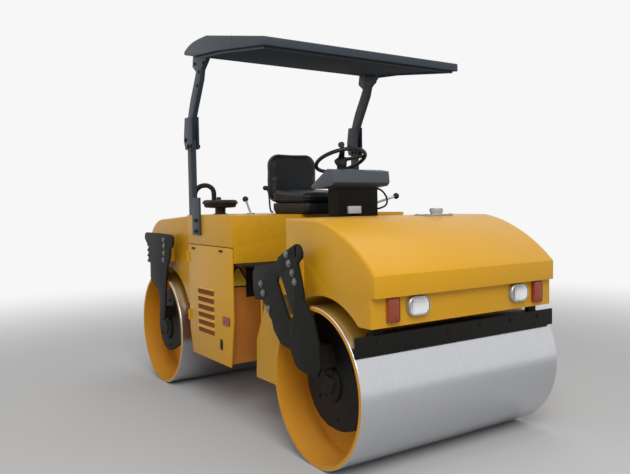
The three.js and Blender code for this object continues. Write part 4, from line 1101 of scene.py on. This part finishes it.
def roll_bar():
    pin_x, pin_z = FOLD_PIN
    apart, hinge_bolt, foot_bolt, bracket_bolt = 0.045, 0.012, 0.01, 0.009
    for side_name, side in SIDES:
        panel("lower_post_" + side_name, "slate_paint", 0.004)
        panel("upper_post_" + side_name, "slate_paint", 0.004)
        heads = [((x, side * face, z), (0, side * out, 0))
                 for face, out in zip(POST_FACES, (-1, 1))
                 for x, z in ((pin_x + apart, pin_z - apart), (pin_x + 2 * apart, pin_z - apart),
                              (pin_x, pin_z))]
        bolts("hinge_bolts_" + side_name, "rear_unit", heads, hinge_bolt, "black_paint")
        foot = [((x, side * FOOT_FACE, z), (0, side, 0)) for x in (-0.35, -0.385)
                for z in (1.125, 1.195)]
        bolts("foot_bolts_" + side_name, "rear_unit", foot, foot_bolt, "black_paint")
        top = [((x, side * (FOOT_FACE - 0.0025), z), (0, side, 0)) for x, z in
               ((-0.2, 2.178), (-0.27, 2.13), (-0.3, 2.05), (-0.33, 2.19))]
        bolts("canopy_bracket_bolts_" + side_name, "roll_bar", top, bracket_bolt, "black_paint")
    second_finish(panel("canopy", "slate_paint", 0.006, smooth=40), "lining",
                  lambda face: face.normal.z < -0.5)

    def folded_edge(bm):
        under = ((-0.25, 2.2212), (0.059, 2.2), (0.62, 2.1317))
        right, left, thick, drop, bury = -0.672, 0.669, 0.003, 0.012, 0.002
        for y in (right, left):
            add_rings(bm, [[(x, y, z - drop), (x, y + thick, z - drop), (x, y + thick, z + bury),
                            (x, y, z + bury)] for x, z in under])
        x, z = under[-1]
        add_block(bm, (x - thick, right, z - drop), (x, -right, z + bury))

    piece("canopy_folded_edge", folded_edge, "roll_bar", "slate_paint")

    def seam(bm):
        x, wide, proud, bottom, top = 0.266, 0.003, 0.0004, 2.178, 2.254
        for y in (-0.6927, 0.6923):
            add_block(bm, (x, y, bottom), (x + wide, y + proud, top))

    piece("canopy_seam", seam, "roll_bar", "black_rubber")


# -------------------------------------------------------------------------- the stage

FLOOR_RADIUS, FADE_START, FADE_END = 60, 2.2, 7.5
BACKDROP, WORLD_LIGHT = 0.93, 0.45               # what the camera sees, what lights the roller


def floor_and_world():
    scene = bpy.context.scene
    bm = bmesh.new()
    bmesh.ops.create_circle(bm, cap_ends=True, radius=FLOOR_RADIUS, segments=96)
    floor = new_object("floor", bm)
    material, w, surface = new_material("floor")
    surface["Base Color"].default_value = tuple(scene.roller_colours.floor)
    surface["Roughness"].default_value = 0.7
    surface["Specular IOR Level"].default_value = 0.1
    reach = w.node("ShaderNodeVectorMath", {0: w.place()},
                   operation="LENGTH").outputs["Value"]
    fade = w.node("ShaderNodeMapRange", {"Value": reach, "From Min": FADE_START,
                                               "From Max": FADE_END},
                  interpolation_type="SMOOTHSTEP").outputs["Result"]
    glow = w.node("ShaderNodeEmission", {"Color": (1, 1, 1, 1), "Strength": BACKDROP})
    both = w.node("ShaderNodeMixShader", {0: w.times(fade, w.seen_rays())})
    w.feed(both.inputs[1], w.tree.nodes["Principled BSDF"].outputs[0])
    w.feed(both.inputs[2], glow.outputs[0])
    w.feed(w.tree.nodes["Material Output"].inputs["Surface"], both.outputs[0])
    floor.data.materials.append(material)
    world = bpy.data.worlds.new("studio")
    scene.world = world
    world.use_nodes = True
    w = Wiring(world.node_tree)
    background = w.tree.nodes["Background"].inputs
    extra = w.times(w.seen_rays(), BACKDROP - WORLD_LIGHT)
    w.feed(background["Strength"], w.plus(extra, WORLD_LIGHT))
    background["Color"].default_value = (1, 1, 1, 1)


def studio_lamps():
    for name, place, size, power in (("key", (5.5, -2.6, 5.2), 4.0, 300.0),
                                     ("fill", (-1.5, -6.0, 3.0), 4.0, 25.0),
                                     ("top", (0.0, 1.0, 7.0), 5.0, 110.0)):
        data = bpy.data.lights.new(name, "AREA")
        data.size, data.energy = size, power
        lamp = bpy.data.objects.new(name, data)
        lamp.location = place
        aim = Vector((0, 0, 0.9)) - Vector(place)
        lamp.rotation_euler = aim.to_track_quat("-Z", "Y").to_euler()
        bpy.context.scene.collection.objects.link(lamp)


CAMERA_PLACE = (3.951, -2.4368, 1.3141)
CAMERA_TURN = (143.388, -3.038, -0.655)          # degrees of yaw, pitch and roll
LENS, SHIFT = 39.9, -0.0952


def camera():
    yaw, pitch, roll = (math.radians(a) for a in CAMERA_TURN)
    forward = Vector((math.cos(yaw) * math.cos(pitch), math.sin(yaw) * math.cos(pitch),
                      math.sin(pitch)))
    level = forward.cross(Vector((0, 0, 1))).normalized()
    upright = level.cross(forward)
    right = level * math.cos(roll) + upright * math.sin(roll)
    up = upright * math.cos(roll) - level * math.sin(roll)
    data = bpy.data.cameras.new("camera")
    data.sensor_width, data.sensor_fit, data.lens = 36.0, "HORIZONTAL", LENS
    data.shift_x = SHIFT
    eye = bpy.data.objects.new("camera", data)
    turn = Matrix((right, up, -forward)).transposed()
    eye.matrix_world = Matrix.Translation(CAMERA_PLACE) @ turn.to_4x4()
    bpy.context.scene.collection.objects.link(eye)
    bpy.context.scene.camera = eye
    bpy.context.scene.view_settings.view_transform = "Standard"


# -------------------------------------------------------------------------- operators

class ROLLER_OT_finishes(bpy.types.Operator):
    """Make the shared effects and the materials"""
    bl_idname = "roller.finishes"
    bl_label = "Finishes"

    def execute(self, context):
        make_materials()
        return {"FINISHED"}


class ROLLER_OT_bodywork(bpy.types.Operator):
    """Build the tanks, frames and floor"""
    bl_idname = "roller.bodywork"
    bl_label = "Bodywork"

    def execute(self, context):
        bodywork()
        return {"FINISHED"}


class ROLLER_OT_drums(bpy.types.Operator):
    """Build both drums"""
    bl_idname = "roller.drums"
    bl_label = "Drums"

    def execute(self, context):
        drum("front", DRUM_X)
        drum("rear", -DRUM_X)
        return {"FINISHED"}


class ROLLER_OT_arms(bpy.types.Operator):
    """Build the drum arms, the hubs and their bolts"""
    bl_idname = "roller.arms"
    bl_label = "Arms"

    def execute(self, context):
        arms()
        return {"FINISHED"}


class ROLLER_OT_scrapers(bpy.types.Operator):
    """Build both scrapers"""
    bl_idname = "roller.scrapers"
    bl_label = "Scrapers"

    def execute(self, context):
        scraper("front", 1)
        scraper("rear", -1)
        return {"FINISHED"}


class ROLLER_OT_doors(bpy.types.Operator):
    """Build the engine doors and their fittings"""
    bl_idname = "roller.doors"
    bl_label = "Engine doors"

    def execute(self, context):
        for side_name, side in SIDES:
            door(side_name, side)
        return {"FINISHED"}


class ROLLER_OT_lamps(bpy.types.Operator):
    """Build the lamps"""
    bl_idname = "roller.lamps"
    bl_label = "Lamps"

    def execute(self, context):
        lamps()
        return {"FINISHED"}


class ROLLER_OT_fittings(bpy.types.Operator):
    """Build the caps and the blank sign"""
    bl_idname = "roller.fittings"
    bl_label = "Caps and sign"

    def execute(self, context):
        caps()
        warning_sign()
        return {"FINISHED"}


class ROLLER_OT_articulation(bpy.types.Operator):
    """Build the yoke and the steering cylinder"""
    bl_idname = "roller.articulation"
    bl_label = "Articulation"

    def execute(self, context):
        articulation()
        return {"FINISHED"}


class ROLLER_OT_seat(bpy.types.Operator):
    """Build the padded seat"""
    bl_idname = "roller.seat"
    bl_label = "Seat"

    def execute(self, context):
        seat()
        return {"FINISHED"}


class ROLLER_OT_console(bpy.types.Operator):
    """Build the console and its levers"""
    bl_idname = "roller.console"
    bl_label = "Console"

    def execute(self, context):
        console()
        return {"FINISHED"}


class ROLLER_OT_steering_wheel(bpy.types.Operator):
    """Build the steering wheel and its knob"""
    bl_idname = "roller.steering_wheel"
    bl_label = "Steering wheel"

    def execute(self, context):
        steering_wheel()
        return {"FINISHED"}


class ROLLER_OT_intake(bpy.types.Operator):
    """Build the air cleaner and its hose"""
    bl_idname = "roller.intake"
    bl_label = "Air intake"

    def execute(self, context):
        air_intake()
        return {"FINISHED"}


class ROLLER_OT_roll_bar(bpy.types.Operator):
    """Build the folding roll bar and its canopy"""
    bl_idname = "roller.roll_bar"
    bl_label = "Roll bar"

    def execute(self, context):
        roll_bar()
        return {"FINISHED"}


class ROLLER_OT_stage(bpy.types.Operator):
    """Set the floor, the light and the camera"""
    bl_idname = "roller.stage"
    bl_label = "Stage"

    def execute(self, context):
        floor_and_world()
        studio_lamps()
        camera()
        return {"FINISHED"}


OPERATORS = (
    ROLLER_OT_finishes, ROLLER_OT_bodywork, ROLLER_OT_drums, ROLLER_OT_arms, ROLLER_OT_scrapers,
    ROLLER_OT_doors, ROLLER_OT_lamps, ROLLER_OT_fittings, ROLLER_OT_articulation,
    ROLLER_OT_seat, ROLLER_OT_console, ROLLER_OT_steering_wheel, ROLLER_OT_intake,
    ROLLER_OT_roll_bar, ROLLER_OT_stage,
)


class ROLLER_PT_panel(bpy.types.Panel):
    """The roller's builders, colours and sizes"""
    bl_label = "Tandem road roller"
    bl_idname = "ROLLER_PT_panel"
    bl_space_type = "VIEW_3D"
    bl_region_type = "UI"
    bl_category = "Roller"

    def draw(self, context):
        for group in (context.scene.roller_colours, context.scene.roller_sizes):
            for key in group.bl_rna.properties.keys():
                if key not in {"rna_type", "name"}:
                    self.layout.prop(group, key)
        for made in OPERATORS:
            self.layout.operator(made.bl_idname)


CLASSES = (RollerColours, RollerSizes, *OPERATORS, ROLLER_PT_panel)


def register():
    for made in CLASSES:
        bpy.utils.register_class(made)
    bpy.types.Scene.roller_colours = bpy.props.PointerProperty(type=RollerColours)
    bpy.types.Scene.roller_sizes = bpy.props.PointerProperty(type=RollerSizes)


def unregister():
    del bpy.types.Scene.roller_sizes
    del bpy.types.Scene.roller_colours
    for made in reversed(CLASSES):
        bpy.utils.unregister_class(made)


def main():
    register()
    for made in OPERATORS:
        getattr(bpy.ops.roller, made.bl_idname.split(".")[1])()


if __name__ == "__main__":
    main()
